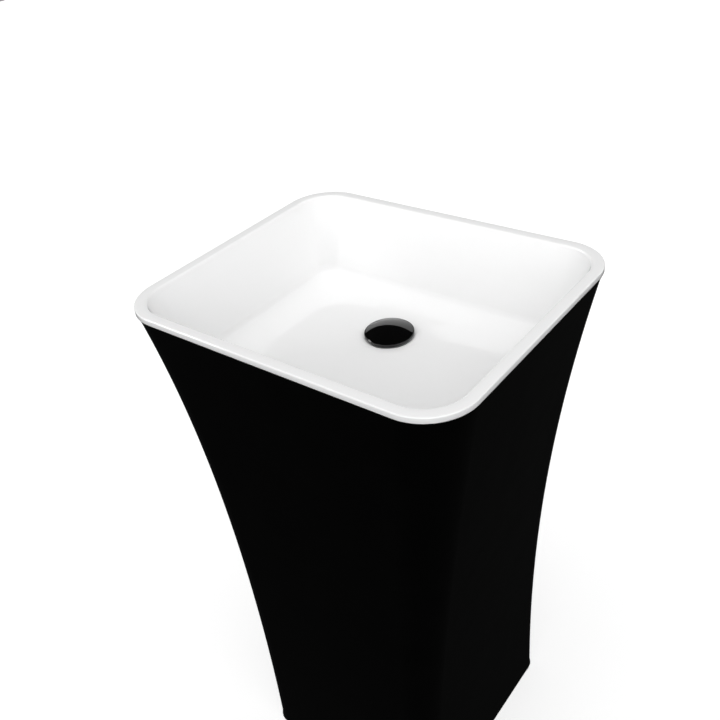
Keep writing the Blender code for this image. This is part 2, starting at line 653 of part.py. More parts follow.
def make_spring(materials, bottom, top):
    curve = bpy.data.curves.new("click_spring", "CURVE")
    curve.dimensions = "3D"
    curve.bevel_depth = SPRING_WIRE
    curve.bevel_resolution = 1
    curve.use_fill_caps = True
    steps = SPRING_TURNS * 10
    line = curve.splines.new("POLY")
    line.points.add(steps)
    rise = top - bottom - 2 * SPRING_WIRE
    for step in range(steps + 1):
        angle = math.tau * step / 10
        height = bottom + SPRING_WIRE + rise * step / steps - bottom
        line.points[step].co = (SPRING_RADIUS * math.cos(angle), SPRING_RADIUS * math.sin(angle), height, 1.0)
    curve.materials.append(materials["spring_steel"])
    spring = bpy.data.objects.new("click_spring", curve)
    spring.location = (0.0, WASTE_Y, bottom)
    bpy.context.scene.collection.objects.link(spring)


def make_cap(materials, stem_top):
    edge_top, reach = CAP_BOTTOM + CAP_EDGE, CAP_RADIUS - CAP_EDGE_ROUND
    outline = [(0.0, edge_top + CAP_RISE)]
    for step in range(1, 7):
        share = step / 6
        outline.append((reach * share, edge_top + CAP_RISE * (1 - share ** 2)))
    outline += [
        (CAP_RADIUS, edge_top - CAP_EDGE_ROUND), (CAP_RADIUS, CAP_BOTTOM + CAP_EDGE_ROUND),
        (reach, CAP_BOTTOM), (CAP_BOSS_RADIUS, CAP_BOTTOM),
        (CAP_BOSS_RADIUS, CAP_BOTTOM - CAP_BOSS_DEPTH), (STEM_RADIUS + GAP, CAP_BOTTOM - CAP_BOSS_DEPTH),
        (STEM_RADIUS + GAP, stem_top + GAP), (0.0, stem_top + GAP),
    ]
    add_turned("waste_cap", outline, materials["black_enamel"], CAP_STEPS)
    seal = tube_outline(CAP_BOSS_RADIUS + GAP, CAP_SEAL_RADIUS, FLANGE_TOP + GAP, CAP_BOTTOM - GAP)
    add_turned("cap_seal", seal, materials["black_rubber"])


# ---------------------------------------------------------------- bottle trap
def make_trap(materials):
    make_inlet(materials)
    make_trap_body(materials)
    make_cup(materials)
    make_outlet(materials)


def make_inlet(materials):
    washer_top = WASTE_END - GAP
    washer_bottom = washer_top - FLAT_WASHER
    add_turned("inlet_washer", tube_outline(PIPE_RADIUS, WASTE_RADIUS - 2 * GAP, washer_bottom, washer_top),
               materials["black_rubber"])
    flange_top = washer_bottom - GAP
    flange_bottom = flange_top - PIPE_FLANGE
    pipe_end = TRAP_BOTTOM - DIP_DEPTH
    add_turned("inlet_pipe", [
        (WASTE_RADIUS - 2 * GAP, flange_top), (WASTE_RADIUS - 2 * GAP, flange_bottom),
        (PIPE_RADIUS, flange_bottom), (PIPE_RADIUS, pipe_end), (PIPE_RADIUS - PIPE_WALL, pipe_end),
        (PIPE_RADIUS - PIPE_WALL, flange_top),
    ], materials["chromed_brass"])
    bottom = flange_bottom - GAP - NUT_LIP
    top = bottom + INLET_NUT_HEIGHT
    nut = nut_outline(WASTE_RADIUS + GAP, INLET_NUT_RADIUS, bottom, top, PIPE_RADIUS + 2 * GAP)
    add_turned("inlet_nut", nut, materials["chromed_brass"])


def make_trap_body(materials):
    neck_bottom = TRAP_TOP - TRAP_NECK_HEIGHT
    side_top = neck_bottom - TRAP_SHOULDER
    inner = TRAP_RADIUS - TRAP_WALL
    neck_inner = PIPE_RADIUS + 4 * GAP
    outline = [
        (TRAP_NECK_RADIUS, TRAP_TOP), (TRAP_NECK_RADIUS, neck_bottom),
        (TRAP_RADIUS - TRAP_SHOULDER_ROUND, neck_bottom - TRAP_SHOULDER_FALL), (TRAP_RADIUS, side_top),
        (TRAP_RADIUS, TRAP_BOTTOM), (inner, TRAP_BOTTOM), (inner, side_top),
        (neck_inner, neck_bottom - 2 * TRAP_SHOULDER_FALL), (neck_inner, TRAP_TOP),
    ]
    body = add_turned("trap_body", outline, materials["chromed_brass"])
    root = WASTE_Y + inner - BRANCH_OVERLAP
    branch = turned([(OUTLET_RADIUS, OUTLET_MOUTH), (OUTLET_RADIUS, root), (0.0, root), (0.0, OUTLET_MOUTH)],
                    (0.0, 0.0, OUTLET_Z), ROUND_STEPS, "Y")
    combine(body, branch, "UNION")
    inner_branch = PIPE_RADIUS + 2 * GAP
    bore_start = WASTE_Y + PIPE_RADIUS + BRANCH_BORE_START
    bore = turned([(inner_branch, OUTLET_MOUTH + HOLE_REACH), (inner_branch, bore_start),
                   (0.0, bore_start), (0.0, OUTLET_MOUTH + HOLE_REACH)], (0.0, 0.0, OUTLET_Z), ROUND_STEPS, "Y")
    combine(body, bore, "DIFFERENCE")
    washer_bottom = TRAP_TOP + GAP
    washer_top = washer_bottom + CONE_WASHER
    cone_foot = TRAP_NECK_RADIUS - SEAL_SETBACK
    add_turned("top_washer", [(cone_foot, washer_bottom), (PIPE_RADIUS + GAP, washer_bottom),
                              (PIPE_RADIUS + GAP, washer_top), (cone_foot - CONE_TAPER, washer_top)],
               materials["black_rubber"])
    top = washer_top + GAP + NUT_LIP
    foot = neck_bottom + 2 * GAP
    nut = nut_outline(TRAP_NECK_RADIUS + GAP, TRAP_TOP_NUT_RADIUS, -top, -foot, PIPE_RADIUS + 2 * GAP)
    add_turned("top_nut", [(radius, -height) for radius, height in nut], materials["chromed_brass"])


def make_cup(materials):
    seal_top = TRAP_BOTTOM - GAP
    seal_bottom = seal_top - CUP_SEAL_THICKNESS
    inner = TRAP_RADIUS - TRAP_WALL
    add_turned("cup_seal", tube_outline(inner + 2 * GAP, TRAP_RADIUS, seal_bottom, seal_top),
               materials["black_rubber"])
    ledge = seal_bottom - GAP
    waist = CUP_RADIUS - CUP_WAIST
    foot = CUP_RADIUS - CUP_FOOT_TAPER
    bore = waist - CUP_WALL
    floor = CUP_BOTTOM + CUP_WALL
    grip_foot = ledge - CUP_GRIP
    outline = [
        (CUP_RADIUS - CUP_EDGE, CUP_TOP), (CUP_RADIUS, CUP_TOP - CUP_EDGE), (CUP_RADIUS, grip_foot),
        (waist, grip_foot - CUP_WAIST_SLOPE), (waist, CUP_BOTTOM + CUP_FOOT_RISE),
        (waist - CUP_WAIST_SLOPE, CUP_BOTTOM + CUP_FOOT_EDGE), (foot, CUP_BOTTOM), (0.0, CUP_BOTTOM),
        (0.0, floor), (foot - CUP_WALL / 2, floor), (bore - CUP_WAIST_SLOPE, floor + CUP_FOOT_EDGE),
        (bore, floor + CUP_FOOT_RISE), (bore, ledge), (TRAP_RADIUS + 2 * GAP, ledge),
        (TRAP_RADIUS + 2 * GAP, CUP_TOP),
    ]
    add_turned("trap_cup", outline, materials["chromed_brass"])


def add_outlet_piece(name, outline, material):
    """A round piece on the outlet's axis; heights in its outline run towards the wall."""
    start = min(height for _, height in outline)
    bm = turned(outline, (0.0, 0.0, OUTLET_Z), ROUND_STEPS, "Y")
    return add_object(name, mesh_from(bm, name), material, (0.0, start, OUTLET_Z))


def make_outlet(materials):
    washer_start = OUTLET_MOUTH + GAP
    washer_end = washer_start + CONE_WASHER
    add_outlet_piece("outlet_washer", [
        (PIPE_RADIUS + GAP, washer_start), (OUTLET_RADIUS - SEAL_SETBACK / 2, washer_start),
        (OUTLET_RADIUS - CONE_TAPER, washer_end), (PIPE_RADIUS + GAP, washer_end),
    ], materials["black_rubber"])
    far = washer_end + GAP + NUT_LIP
    near = far - OUTLET_NUT_LENGTH
    nut = nut_outline(OUTLET_RADIUS + GAP, OUTLET_NUT_RADIUS, -far, -near, PIPE_RADIUS + 2 * GAP)
    add_outlet_piece("outlet_nut", [(radius, -height) for radius, height in nut], materials["chromed_brass"])
    start = OUTLET_MOUTH - OUTLET_ENTRY
    add_outlet_piece("outlet_pipe", tube_outline(PIPE_RADIUS - PIPE_WALL, PIPE_RADIUS, start, WALL_Y),
                     materials["chromed_brass"])
    add_outlet_piece("wall_rosette", [
        (PIPE_RADIUS + GAP, WALL_Y - ROSETTE_DEPTH), (PIPE_RADIUS + ROSETTE_COLLAR, WALL_Y - ROSETTE_DEPTH),
        (ROSETTE_RADIUS - ROSETTE_SLOPE, WALL_Y - 0.6 * ROSETTE_DEPTH), (ROSETTE_RADIUS, WALL_Y - ROSETTE_EDGE),
        (ROSETTE_RADIUS, WALL_Y), (PIPE_RADIUS + GAP, WALL_Y),
    ], materials["chromed_brass"])


def main():
    clear_scene()
    materials = make_materials()
    make_basin(materials)
    make_shell(materials)
    make_seals(materials)
    make_brackets(materials)
    make_waste(materials)
    make_click(materials)
    make_trap(materials)


main()
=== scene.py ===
"""Pedestal sink: a white cast bowl on a black flared shell, with its waste, bottle trap and studio."""

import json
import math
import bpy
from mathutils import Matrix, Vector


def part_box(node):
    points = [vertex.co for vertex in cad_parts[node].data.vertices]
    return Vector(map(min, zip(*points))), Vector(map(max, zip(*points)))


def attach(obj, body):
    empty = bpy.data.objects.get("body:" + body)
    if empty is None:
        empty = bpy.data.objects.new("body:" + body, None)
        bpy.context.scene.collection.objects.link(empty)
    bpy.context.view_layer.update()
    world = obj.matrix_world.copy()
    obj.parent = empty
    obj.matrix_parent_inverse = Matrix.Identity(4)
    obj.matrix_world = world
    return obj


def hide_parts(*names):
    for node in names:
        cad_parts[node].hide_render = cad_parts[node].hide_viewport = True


bl_info = {
    "name": "Pedestal Sink",
    "version": (1, 0, 0),
    "blender": (4, 5, 0),
    "location": "3D View > Sidebar > Sink",
    "description": "Builds the fine surfaces and finishes of a freestanding pedestal sink over its frame",
    "category": "Add Mesh",
}

import bmesh
import bpy
from bpy.props import FloatProperty, FloatVectorProperty, IntProperty, PointerProperty, StringProperty
from mathutils import Matrix, Vector

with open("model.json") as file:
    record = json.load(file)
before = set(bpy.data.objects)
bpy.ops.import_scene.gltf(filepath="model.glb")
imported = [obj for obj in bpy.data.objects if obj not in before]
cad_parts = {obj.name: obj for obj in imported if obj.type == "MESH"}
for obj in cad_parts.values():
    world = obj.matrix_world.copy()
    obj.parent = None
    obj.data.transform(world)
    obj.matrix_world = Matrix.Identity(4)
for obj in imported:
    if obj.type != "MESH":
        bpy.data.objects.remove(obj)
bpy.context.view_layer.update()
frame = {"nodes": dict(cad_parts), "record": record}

CLEARANCE = 0.0003  # between pieces that touch
BOND = 0.0015  # thickness of the bond between shell and bowl
SEAL_SETBACK = 0.0015  # foot seal, in from the shell's face
PLATE_COLLAR = 0.0035  # wall plate's collar round the pipe
PLATE_EDGE = 0.0012  # straight edge of the wall plate
RUN = 0.05  # far enough along a straight run to guide a fillet
MERGE = 1e-6  # points closer than this are one
CRISP = math.radians(38)  # edges sharper than this stay crisp
BOWL_POINTS, SHELL_POINTS, NUT_POINTS = 4 * 25, 4 * 21, 144
slots = {entry["node"]: entry["material_slot"] for entry in frame["record"]["subparts"]}


# ---------------------------------------------------------------- measures taken from the frame
def low(node):
    return Vector(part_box(node)[0])


def high(node):
    return Vector(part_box(node)[1])


def radius_of(node):
    return span(node).x / 2


def middle_y(node):
    return (high(node).y + low(node).y) / 2


def middle_z(node):
    return (high(node).z + low(node).z) / 2


def span(node):
    return high(node) - low(node)


# ---------------------------------------------------------------- sizes a user would change
def length(label, description, default):
    return FloatProperty(name=label, description=description, default=default, min=0.0, unit="LENGTH")


class SinkBowlSizes(bpy.types.PropertyGroup):
    width: length("Width", "Rim, left to right", span("basin").x)
    depth: length("Depth", "Rim, front to back", span("basin").y)
    top: length("Rim height", "Top of the rim above the floor", high("basin").z)
    lip: length("Lip", "Height of the lip's face", high("basin").z - high("pedestal_shell").z - CLEARANCE)
    rim_corner: length("Rim corner", "Corner radius of the rim, seen from above", 0.065)
    rim_land: length("Rim land", "Flat top of the rim", 0.015)
    outer_edge: length("Outer edge", "Rounding of the rim's outer edge", 0.0015)
    inner_edge: length("Inner edge", "Rounding of the rim's inner edge", 0.0035)
    inside_depth: length("Bowl depth", "Rim to the foot of the walls", 0.1)
    draft_x: length("Side draft", "How far the side walls lean in", 0.038)
    draft_y: length("End draft", "How far the front and back walls lean in", 0.046)
    corner_top: length("Upper corner", "Radius of the inner corners at the rim", 0.050)
    corner_floor: length("Lower corner", "Radius of the inner corners at the floor", 0.024)
    floor_fillet: length("Floor fillet", "Radius between walls and floor", 0.011)
    floor_fall: length("Fall", "Fall of the floor to the waste", 0.0045)
    wall: length("Wall", "Thickness of the casting", 0.0085)
    under_fillet: length("Under fillet", "Radius under the bowl", 0.018)
    recess: length("Recess", "Radius of the recess for the flange", 0.034)
    recess_depth: length("Recess depth", "Depth of the recess for the flange", 0.003)
    hole: length("Waste hole", "Radius of the hole for the waste", 0.023)
    boss: length("Boss", "Radius of the thick ring round the waste", 0.040)
    boss_thickness: length("Boss thickness", "Thickness of the casting at the waste", 0.012)
    collar: length("Collar", "Depth of the collar that drops into the shell", 0.014)


class SinkShellSizes(bpy.types.PropertyGroup):
    top: length("Top", "Top edge above the floor", high("pedestal_shell").z)
    bottom: length("Bottom", "Bottom edge above the floor", low("pedestal_shell").z)
    top_width: length("Top width", "Shell under the lip", span("pedestal_shell").x)
    top_depth: length("Top depth", "Shell under the lip", 2 * high("pedestal_shell").y)
    foot_width: length("Foot width", "Shell at the floor", span("floor_seal").x + 2 * SEAL_SETBACK)
    foot_depth: length("Foot depth", "Shell at the floor", span("floor_seal").y + 2 * SEAL_SETBACK)
    corner_top: length("Upper corner", "Corner radius under the lip", 0.065)
    corner_foot: length("Foot corner", "Corner radius at the floor", 0.030)
    wall: length("Wall", "Thickness of the shell", 0.010)
    edge: length("Edge", "Rounding of the shell's edges", 0.0009)
    flare_x: FloatProperty(name="Side flare", description="How quickly the sides sweep in", default=2.04)
    flare_y: FloatProperty(name="End flare", description="How quickly front and back sweep in", default=4.4)
    hatch_width: length("Hatch width", "Service opening in the back", 0.190)
    hatch_bottom: length("Hatch bottom", "Service opening in the back", 0.300)
    hatch_top: length("Hatch top", "Service opening in the back", 0.640)
    hatch_corner: length("Hatch corner", "Corner radius of the service opening", 0.030)


class SinkWasteSizes(bpy.types.PropertyGroup):
    bore: length("Bore", "Radius of the waste's bore", 0.018)
    tube: length("Tube", "Outer radius of the threaded tube", 0.0209)
    pitch: length("Thread pitch", "Distance from crest to crest", 0.0023)
    thread_depth: length("Thread depth", "Crest to root", 0.0009)
    cap_rise: length("Cap rise", "How far the dome rises above its edge", 0.0068)
    cap_edge: length("Cap edge", "Height of the cap's edge", 0.0040)
    cap_round: length("Cap rounding", "Rounding of the cap's edge", 0.0012)
    cap_boss: length("Cap boss", "Radius of the boss under the cap", 0.007)
    stem: length("Stem", "Radius of the cap's stem", 0.0034)


class SinkTrapSizes(bpy.types.PropertyGroup):
    pipe: length("Pipe", "Outer radius of the drain pipes", 0.016)
    pipe_wall: length("Pipe wall", "Thickness of the drain pipes", 0.0015)
    neck: length("Neck", "Radius of the trap's neck", 0.0215)
    neck_height: length("Neck height", "Height of the trap's neck", 0.020)
    wall: length("Wall", "Thickness of the trap's wall", 0.0028)
    branch: length("Branch", "Radius of the outlet branch", 0.0195)
    nut_lip: length("Nut lip", "Thickness of the nuts' inward lips", 0.003)
    nut_sides: IntProperty(name="Nut flats", description="Flats round each nut", default=8, min=4)
    cup_grips: IntProperty(name="Cup grips", description="Hollows round the cup's band", default=24, min=8)


class SinkFinishes(bpy.types.PropertyGroup):
    bowl: StringProperty(name="Bowl", description="Gelcoat of the bowl, sRGB hex", default="F5F5F5")
    shell: StringProperty(name="Shell", description="Gelcoat of the shell, sRGB hex", default="030303")
    cap: StringProperty(name="Cap", description="Lacquer of the waste cap, sRGB hex", default="040404")
    floor: StringProperty(name="Floor", description="Studio floor, sRGB hex", default="BEBEBE")


class SinkStageSizes(bpy.types.PropertyGroup):
    azimuth: FloatProperty(name="Azimuth", description="Camera, turned from the front", default=40.467)
    elevation: FloatProperty(name="Elevation", description="Camera, above the horizontal", default=34.152)
    roll: FloatProperty(name="Roll", description="Camera, turned about its line of sight", default=-6.476)
    distance: length("Distance", "Camera to the middle of the rim", 1.09496)
    aside: FloatVectorProperty(
        name="Aside", description="Camera, moved right and up", size=2, unit="LENGTH",
        default=(-0.00865, -0.10241),
    )
    lens: FloatProperty(name="Lens", description="Focal length in mm on a 36 mm sensor", default=42.945)
    key: FloatProperty(name="Key", description="Strength of the high light on the left", default=0.9)
    fill: FloatProperty(name="Fill", description="Strength of the low light behind the camera", default=0.4)
    sky: FloatProperty(name="Sky", description="Strength of the very wide light overhead", default=3.35)
    floor_size: length("Floor size", "Side of the floor", 14.0)


# ---------------------------------------------------------------- outlines and shape makers
def softened(points, steps=5):
    """Rounds the corners of a closed outline of (across, up, rounding) points."""
    outline = []
    for index, (across, up, rounding) in enumerate(points):
        corner = Vector((across, up))
        if not rounding:
            outline.append((across, up))
            continue
        before = (Vector(points[index - 1][:2]) - corner).normalized()
        after = (Vector(points[(index + 1) % len(points)][:2]) - corner).normalized()
        half = before.angle(after) / 2
        centre = corner + (before + after).normalized() * (rounding / math.sin(half))
        start = corner + before * (rounding / math.tan(half)) - centre
        end = corner + after * (rounding / math.tan(half)) - centre
        turn = start.angle_signed(end)
        for step in range(steps + 1):
            outline.append(tuple(centre + Matrix.Rotation(-turn * step / steps, 2) @ start))
    return outline


def threaded(radius, depth, start, end, pitch):
    """Crests and roots of a thread down the side of a turned outline."""
    turns = max(1, round(abs(end - start) / pitch))
    step = (end - start) / turns
    points = []
    for turn in range(turns):
        points.append((radius - depth, start + step * turn, 0.0))
        points.append((radius, start + step * (turn + 0.35), 0.0))
        points.append((radius, start + step * (turn + 0.55), 0.0))
    points.append((radius - depth, end, 0.0))
    return points


def turned(outline, steps=96):
    """Spins a closed outline of (radius, height) points about Z."""
    bm = bmesh.new()
    verts = [bm.verts.new((max(radius, 0.0), 0.0, height)) for radius, height in outline]
    edges = [bm.edges.new((verts[i - 1], verts[i])) for i in range(len(verts))]
    edges = [edge for edge in edges if max(vert.co.x for vert in edge.verts) > MERGE]
    bmesh.ops.spin(
        bm,
        geom=verts + edges,
        cent=(0.0, 0.0, 0.0),
        axis=(0.0, 0.0, 1.0),
        angle=math.tau,
        steps=steps,
        use_merge=True,
    )
    bmesh.ops.remove_doubles(bm, verts=bm.verts, dist=MERGE)
    loose = [edge for edge in bm.edges if not edge.link_faces]
    bmesh.ops.delete(bm, geom=loose, context="EDGES")
    return bm


def drawn(stations, count):
    """Extrudes a ring of points from station to station and closes the wall on itself."""
    bm = bmesh.new()
    ring = bmesh.ops.create_circle(bm, cap_ends=False, segments=count, radius=1.0)["verts"]
    settle(ring, stations[0])
    for station in stations[1:] + stations[:1]:
        edges = [bm.edges.get((ring[i - 1], ring[i])) for i in range(count)]
        made = set(bmesh.ops.extrude_edge_only(bm, edges=edges)["geom"])
        ring = [next(e.other_vert(v) for e in v.link_edges if e.other_vert(v) in made) for v in ring]
        settle(ring, station)
    return bm


def settle(ring, station):
    for index, vert in enumerate(ring):
        vert.co = station(index, len(ring))


def rounded_rectangle(half_x, half_y, corner, centre_y, z):
    """A station whose ring lies on a rounded rectangle."""
    corner = min(corner, half_x, half_y)

    def place(index, count):
        steps = count // 4 - 1
        quarter, step = divmod(index, steps + 1)
        side_x = 1 if quarter in (0, 3) else -1
        side_y = 1 if quarter < 2 else -1
        angle = math.radians(90 * (quarter + step / steps))
        x = side_x * (half_x - corner) + corner * math.cos(angle)
        y = side_y * (half_y - corner) + corner * math.sin(angle)
        return Vector((x, y + centre_y, z))

    return place


def flatted(radius, z, across=None, sides=8):
    """A station on a circle, with flats where it is wider than the given size across them."""

    def place(index, count):
        angle = math.tau * index / count
        reach = radius
        if across:
            share = math.tau / sides
            reach = min(radius, across / 2 / math.cos((angle % share) - share / 2))
        return Vector((reach * math.cos(angle), reach * math.sin(angle), z))

    return place


def gripped(radius, z, hollow, grips):
    """A station on a circle with shallow hollows for the fingers."""

    def place(index, count):
        angle = math.tau * index / count
        reach = radius - hollow * (0.5 - 0.5 * math.cos(grips * angle)) ** 2
        return Vector((reach * math.cos(angle), reach * math.sin(angle), z))

    return place


def tipped(bm, angle):
    """Turns a piece about X."""
    turn = Matrix.Rotation(angle, 3, "X")
    bmesh.ops.rotate(bm, verts=bm.verts, cent=(0, 0, 0), matrix=turn)
    return bm


def moved(bm, centre, along="Z"):
    """Turns a piece made about Z to run along Y if asked, and puts it in its place."""
    if along == "Y":
        tipped(bm, math.radians(-90))
    bmesh.ops.translate(bm, verts=bm.verts, vec=centre)
    return bm


def finished(name, bm, materials, body, replaced, choose=None):
    """Makes a piece of a mesh, hangs it on its body and hides the frame nodes that it stands for."""
    bmesh.ops.remove_doubles(bm, verts=bm.verts, dist=MERGE)
    bmesh.ops.recalc_face_normals(bm, faces=bm.faces)
    if choose:
        for face in bm.faces:
            face.material_index = choose(face)
    mesh = bpy.data.meshes.new(name)
    bm.to_mesh(mesh)
    bm.free()
    for material in materials:
        mesh.materials.append(material)
    mesh.shade_smooth()
    mesh.set_sharp_from_angle(angle=CRISP)
    piece = bpy.data.objects.new(name, mesh)
    bpy.context.scene.collection.objects.link(piece)
    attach(piece, body)
    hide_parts(*replaced)
    return piece


# ---------------------------------------------------------------- materials
def linear(code):
    """sRGB hex to linear colour."""
    shares = [int(code[i : i + 2], 16) / 255 for i in (0, 2, 4)]
    return tuple(s / 12.92 if s <= 0.04045 else ((s + 0.055) / 1.055) ** 2.4 for s in shares) + (1.0,)


def add_node(tree, kind, inputs, output=0, **settings):
    """Adds a node with its settings and gives back one of its outputs."""
    node = tree.nodes.new(kind)
    for key, value in settings.items():
        setattr(node, key, value)
    fill_inputs(node, inputs)
    return node.outputs[output]


def fill_inputs(node, inputs):
    """Each input is a value or the socket that feeds it."""
    for key, value in inputs.items():
        if isinstance(value, bpy.types.NodeSocket):
            node.id_data.links.new(value, node.inputs[key])
        else:
            node.inputs[key].default_value = value


def new_material(name):
    """A bare material with its tree, its shader and its object coordinates."""
    material = bpy.data.materials.new(name)
    material.use_nodes = True
    tree = material.node_tree
    place = add_node(tree, "ShaderNodeTexCoord", {}, "Object")
    return material, tree, tree.nodes["Principled BSDF"], place


def polished_gelcoat(colour):
    """White polyester gelcoat, sprayed in the mould and buffed: a mirror with a faint ripple."""
    material, tree, shader, place = new_material("polished_white_gelcoat")
    wiping = add_node(tree, "ShaderNodeTexNoise", {"Vector": place, "Scale": 1 / 0.035, "Detail": 4.0})
    ripple = add_node(tree, "ShaderNodeTexNoise", {"Vector": place, "Scale": 1 / 0.014, "Detail": 1.0})
    fill_inputs(shader, {
        "Base Color": linear(colour),
        "IOR": 1.5,
        "Roughness": add_node(tree, "ShaderNodeMapRange", {"Value": wiping, "To Min": 0.05, "To Max": 0.10}),
        "Normal": add_node(tree, "ShaderNodeBump", {"Height": ripple, "Distance": 0.000008}),
    })
    return material


def raw_casting(name, first, second):
    """The unpolished back of a resin casting: matt, cloudy, with trowel marks and small pits."""
    material, tree, shader, place = new_material(name)
    cloud = add_node(tree, "ShaderNodeTexNoise", {"Vector": place, "Scale": 1 / 0.06, "Detail": 5.0})
    grit = add_node(tree, "ShaderNodeTexNoise", {"Vector": place, "Scale": 1 / 0.0016, "Detail": 3.0})
    fill_inputs(shader, {
        "Base Color": add_node(
            tree, "ShaderNodeMix", {0: cloud, 6: linear(first), 7: linear(second)}, 2, data_type="RGBA"
        ),
        "IOR": 1.5,
        "Roughness": add_node(tree, "ShaderNodeMapRange", {"Value": grit, "To Min": 0.55, "To Max": 0.8}),
        "Normal": add_node(tree, "ShaderNodeBump", {"Height": grit, "Distance": 0.00012}),
    })
    return material


def satin_gelcoat(colour):
    """Black polyester gelcoat, rubbed to satin: very dark, with faint clouding and fine orange peel."""
    material, tree, shader, place = new_material("satin_black_gelcoat")
    cloud = add_node(tree, "ShaderNodeTexNoise", {"Vector": place, "Scale": 1 / 0.05, "Detail": 4.0})
    peel = add_node(tree, "ShaderNodeTexNoise", {"Vector": place, "Scale": 1 / 0.0035, "Detail": 2.0})
    fill_inputs(shader, {
        "Base Color": add_node(
            tree, "ShaderNodeMix", {0: cloud, 6: linear("010101"), 7: linear(colour)}, 2, data_type="RGBA"
        ),
        "IOR": 1.5,
        "Specular IOR Level": 0.15,
        "Roughness": add_node(tree, "ShaderNodeMapRange", {"Value": cloud, "To Min": 0.26, "To Max": 0.38}),
        "Normal": add_node(tree, "ShaderNodeBump", {"Height": peel, "Distance": 0.00001}),
    })
    return material


def baked_lacquer(colour):
    """Black lacquer baked on brass: deep gloss, with a trace of wiping marks."""
    material, tree, shader, place = new_material("baked_black_lacquer")
    wiping = add_node(tree, "ShaderNodeTexNoise", {"Vector": place, "Scale": 1 / 0.008, "Detail": 4.0})
    peel = add_node(tree, "ShaderNodeTexNoise", {"Vector": place, "Scale": 1 / 0.006, "Detail": 2.0})
    fill_inputs(shader, {
        "Base Color": linear(colour),
        "IOR": 1.52,
        "Roughness": add_node(tree, "ShaderNodeMapRange", {"Value": wiping, "To Min": 0.04, "To Max": 0.08}),
        "Normal": add_node(tree, "ShaderNodeBump", {"Height": peel, "Distance": 0.000004}),
    })
    return material


def chrome_plate():
    """Bright chrome on brass: a clear mirror, dulled a little where water has dried."""
    material, tree, shader, place = new_material("bright_chrome_plate")
    water = add_node(tree, "ShaderNodeTexNoise", {"Vector": place, "Scale": 1 / 0.009, "Detail": 5.0})
    peel = add_node(tree, "ShaderNodeTexNoise", {"Vector": place, "Scale": 1 / 0.004, "Detail": 2.0})
    fill_inputs(shader, {
        "Base Color": linear("C8CACC"),
        "Metallic": 1.0,
        "Roughness": add_node(tree, "ShaderNodeMapRange", {"Value": water, "To Min": 0.04, "To Max": 0.13}),
        "Normal": add_node(tree, "ShaderNodeBump", {"Height": peel, "Distance": 0.000006}),
    })
    return material


def machined_brass():
    """Bare brass off the lathe: warm, with rings 0.3 mm apart left by the tool."""
    material, tree, shader, place = new_material("machined_brass")
    rings = add_node(
        tree, "ShaderNodeTexWave", {"Vector": place, "Scale": 1 / (0.0003 * math.tau), "Distortion": 0.4},
        "Fac", bands_direction="Z",
    )
    tarnish = add_node(tree, "ShaderNodeTexNoise", {"Vector": place, "Scale": 1 / 0.006, "Detail": 4.0})
    fill_inputs(shader, {
        "Base Color": add_node(
            tree, "ShaderNodeMix", {0: tarnish, 6: linear("B9974F"), 7: linear("D9BC72")}, 2, data_type="RGBA"
        ),
        "Metallic": 1.0,
        "Roughness": add_node(tree, "ShaderNodeMapRange", {"Value": tarnish, "To Min": 0.22, "To Max": 0.4}),
        "Normal": add_node(tree, "ShaderNodeBump", {"Height": rings, "Distance": 0.00001}),
    })
    return material


def zinc_plate():
    """Steel, zinc plated and passivated: grey with a faint blue bloom and a fine crystalline grain."""
    material, tree, shader, place = new_material("bright_zinc_plate")
    bloom = add_node(tree, "ShaderNodeTexNoise", {"Vector": place, "Scale": 1 / 0.012, "Detail": 3.0})
    grain = add_node(tree, "ShaderNodeTexVoronoi", {"Vector": place, "Scale": 1 / 0.0008})
    fill_inputs(shader, {
        "Base Color": add_node(
            tree, "ShaderNodeMix", {0: bloom, 6: linear("A9AEB4"), 7: linear("C4C6C6")}, 2, data_type="RGBA"
        ),
        "Metallic": 1.0,
        "Roughness": add_node(tree, "ShaderNodeMapRange", {"Value": grain, "To Min": 0.28, "To Max": 0.42}),
        "Normal": add_node(tree, "ShaderNodeBump", {"Height": grain, "Distance": 0.000008}),
    })
    return material


def drawn_wire():
    """Hard-drawn spring steel: grey, with die lines along the wire."""
    material, tree, shader, place = new_material("hard_drawn_spring_steel")
    lines = add_node(tree, "ShaderNodeTexNoise", {"Vector": place, "Scale": 1 / 0.0005, "Detail": 3.0})
    fill_inputs(shader, {
        "Base Color": add_node(
            tree, "ShaderNodeMix", {0: lines, 6: linear("8F9295"), 7: linear("A9ABAD")}, 2, data_type="RGBA"
        ),
        "Metallic": 1.0,
        "Roughness": add_node(tree, "ShaderNodeMapRange", {"Value": lines, "To Min": 0.22, "To Max": 0.36}),
    })
    return material


def moulded_nylon():
    """Natural nylon, injection moulded: milky white with a soft sheen."""
    material, tree, shader, place = new_material("moulded_white_nylon")
    flow = add_node(tree, "ShaderNodeTexNoise", {"Vector": place, "Scale": 1 / 0.004, "Detail": 3.0})
    fill_inputs(shader, {
        "Base Color": add_node(
            tree, "ShaderNodeMix", {0: flow, 6: linear("E4E3DC"), 7: linear("EEEDE8")}, 2, data_type="RGBA"
        ),
        "IOR": 1.53,
        "Roughness": add_node(tree, "ShaderNodeMapRange", {"Value": flow, "To Min": 0.34, "To Max": 0.46}),
        "Normal": add_node(tree, "ShaderNodeBump", {"Height": flow, "Distance": 0.00001}),
    })
    return material


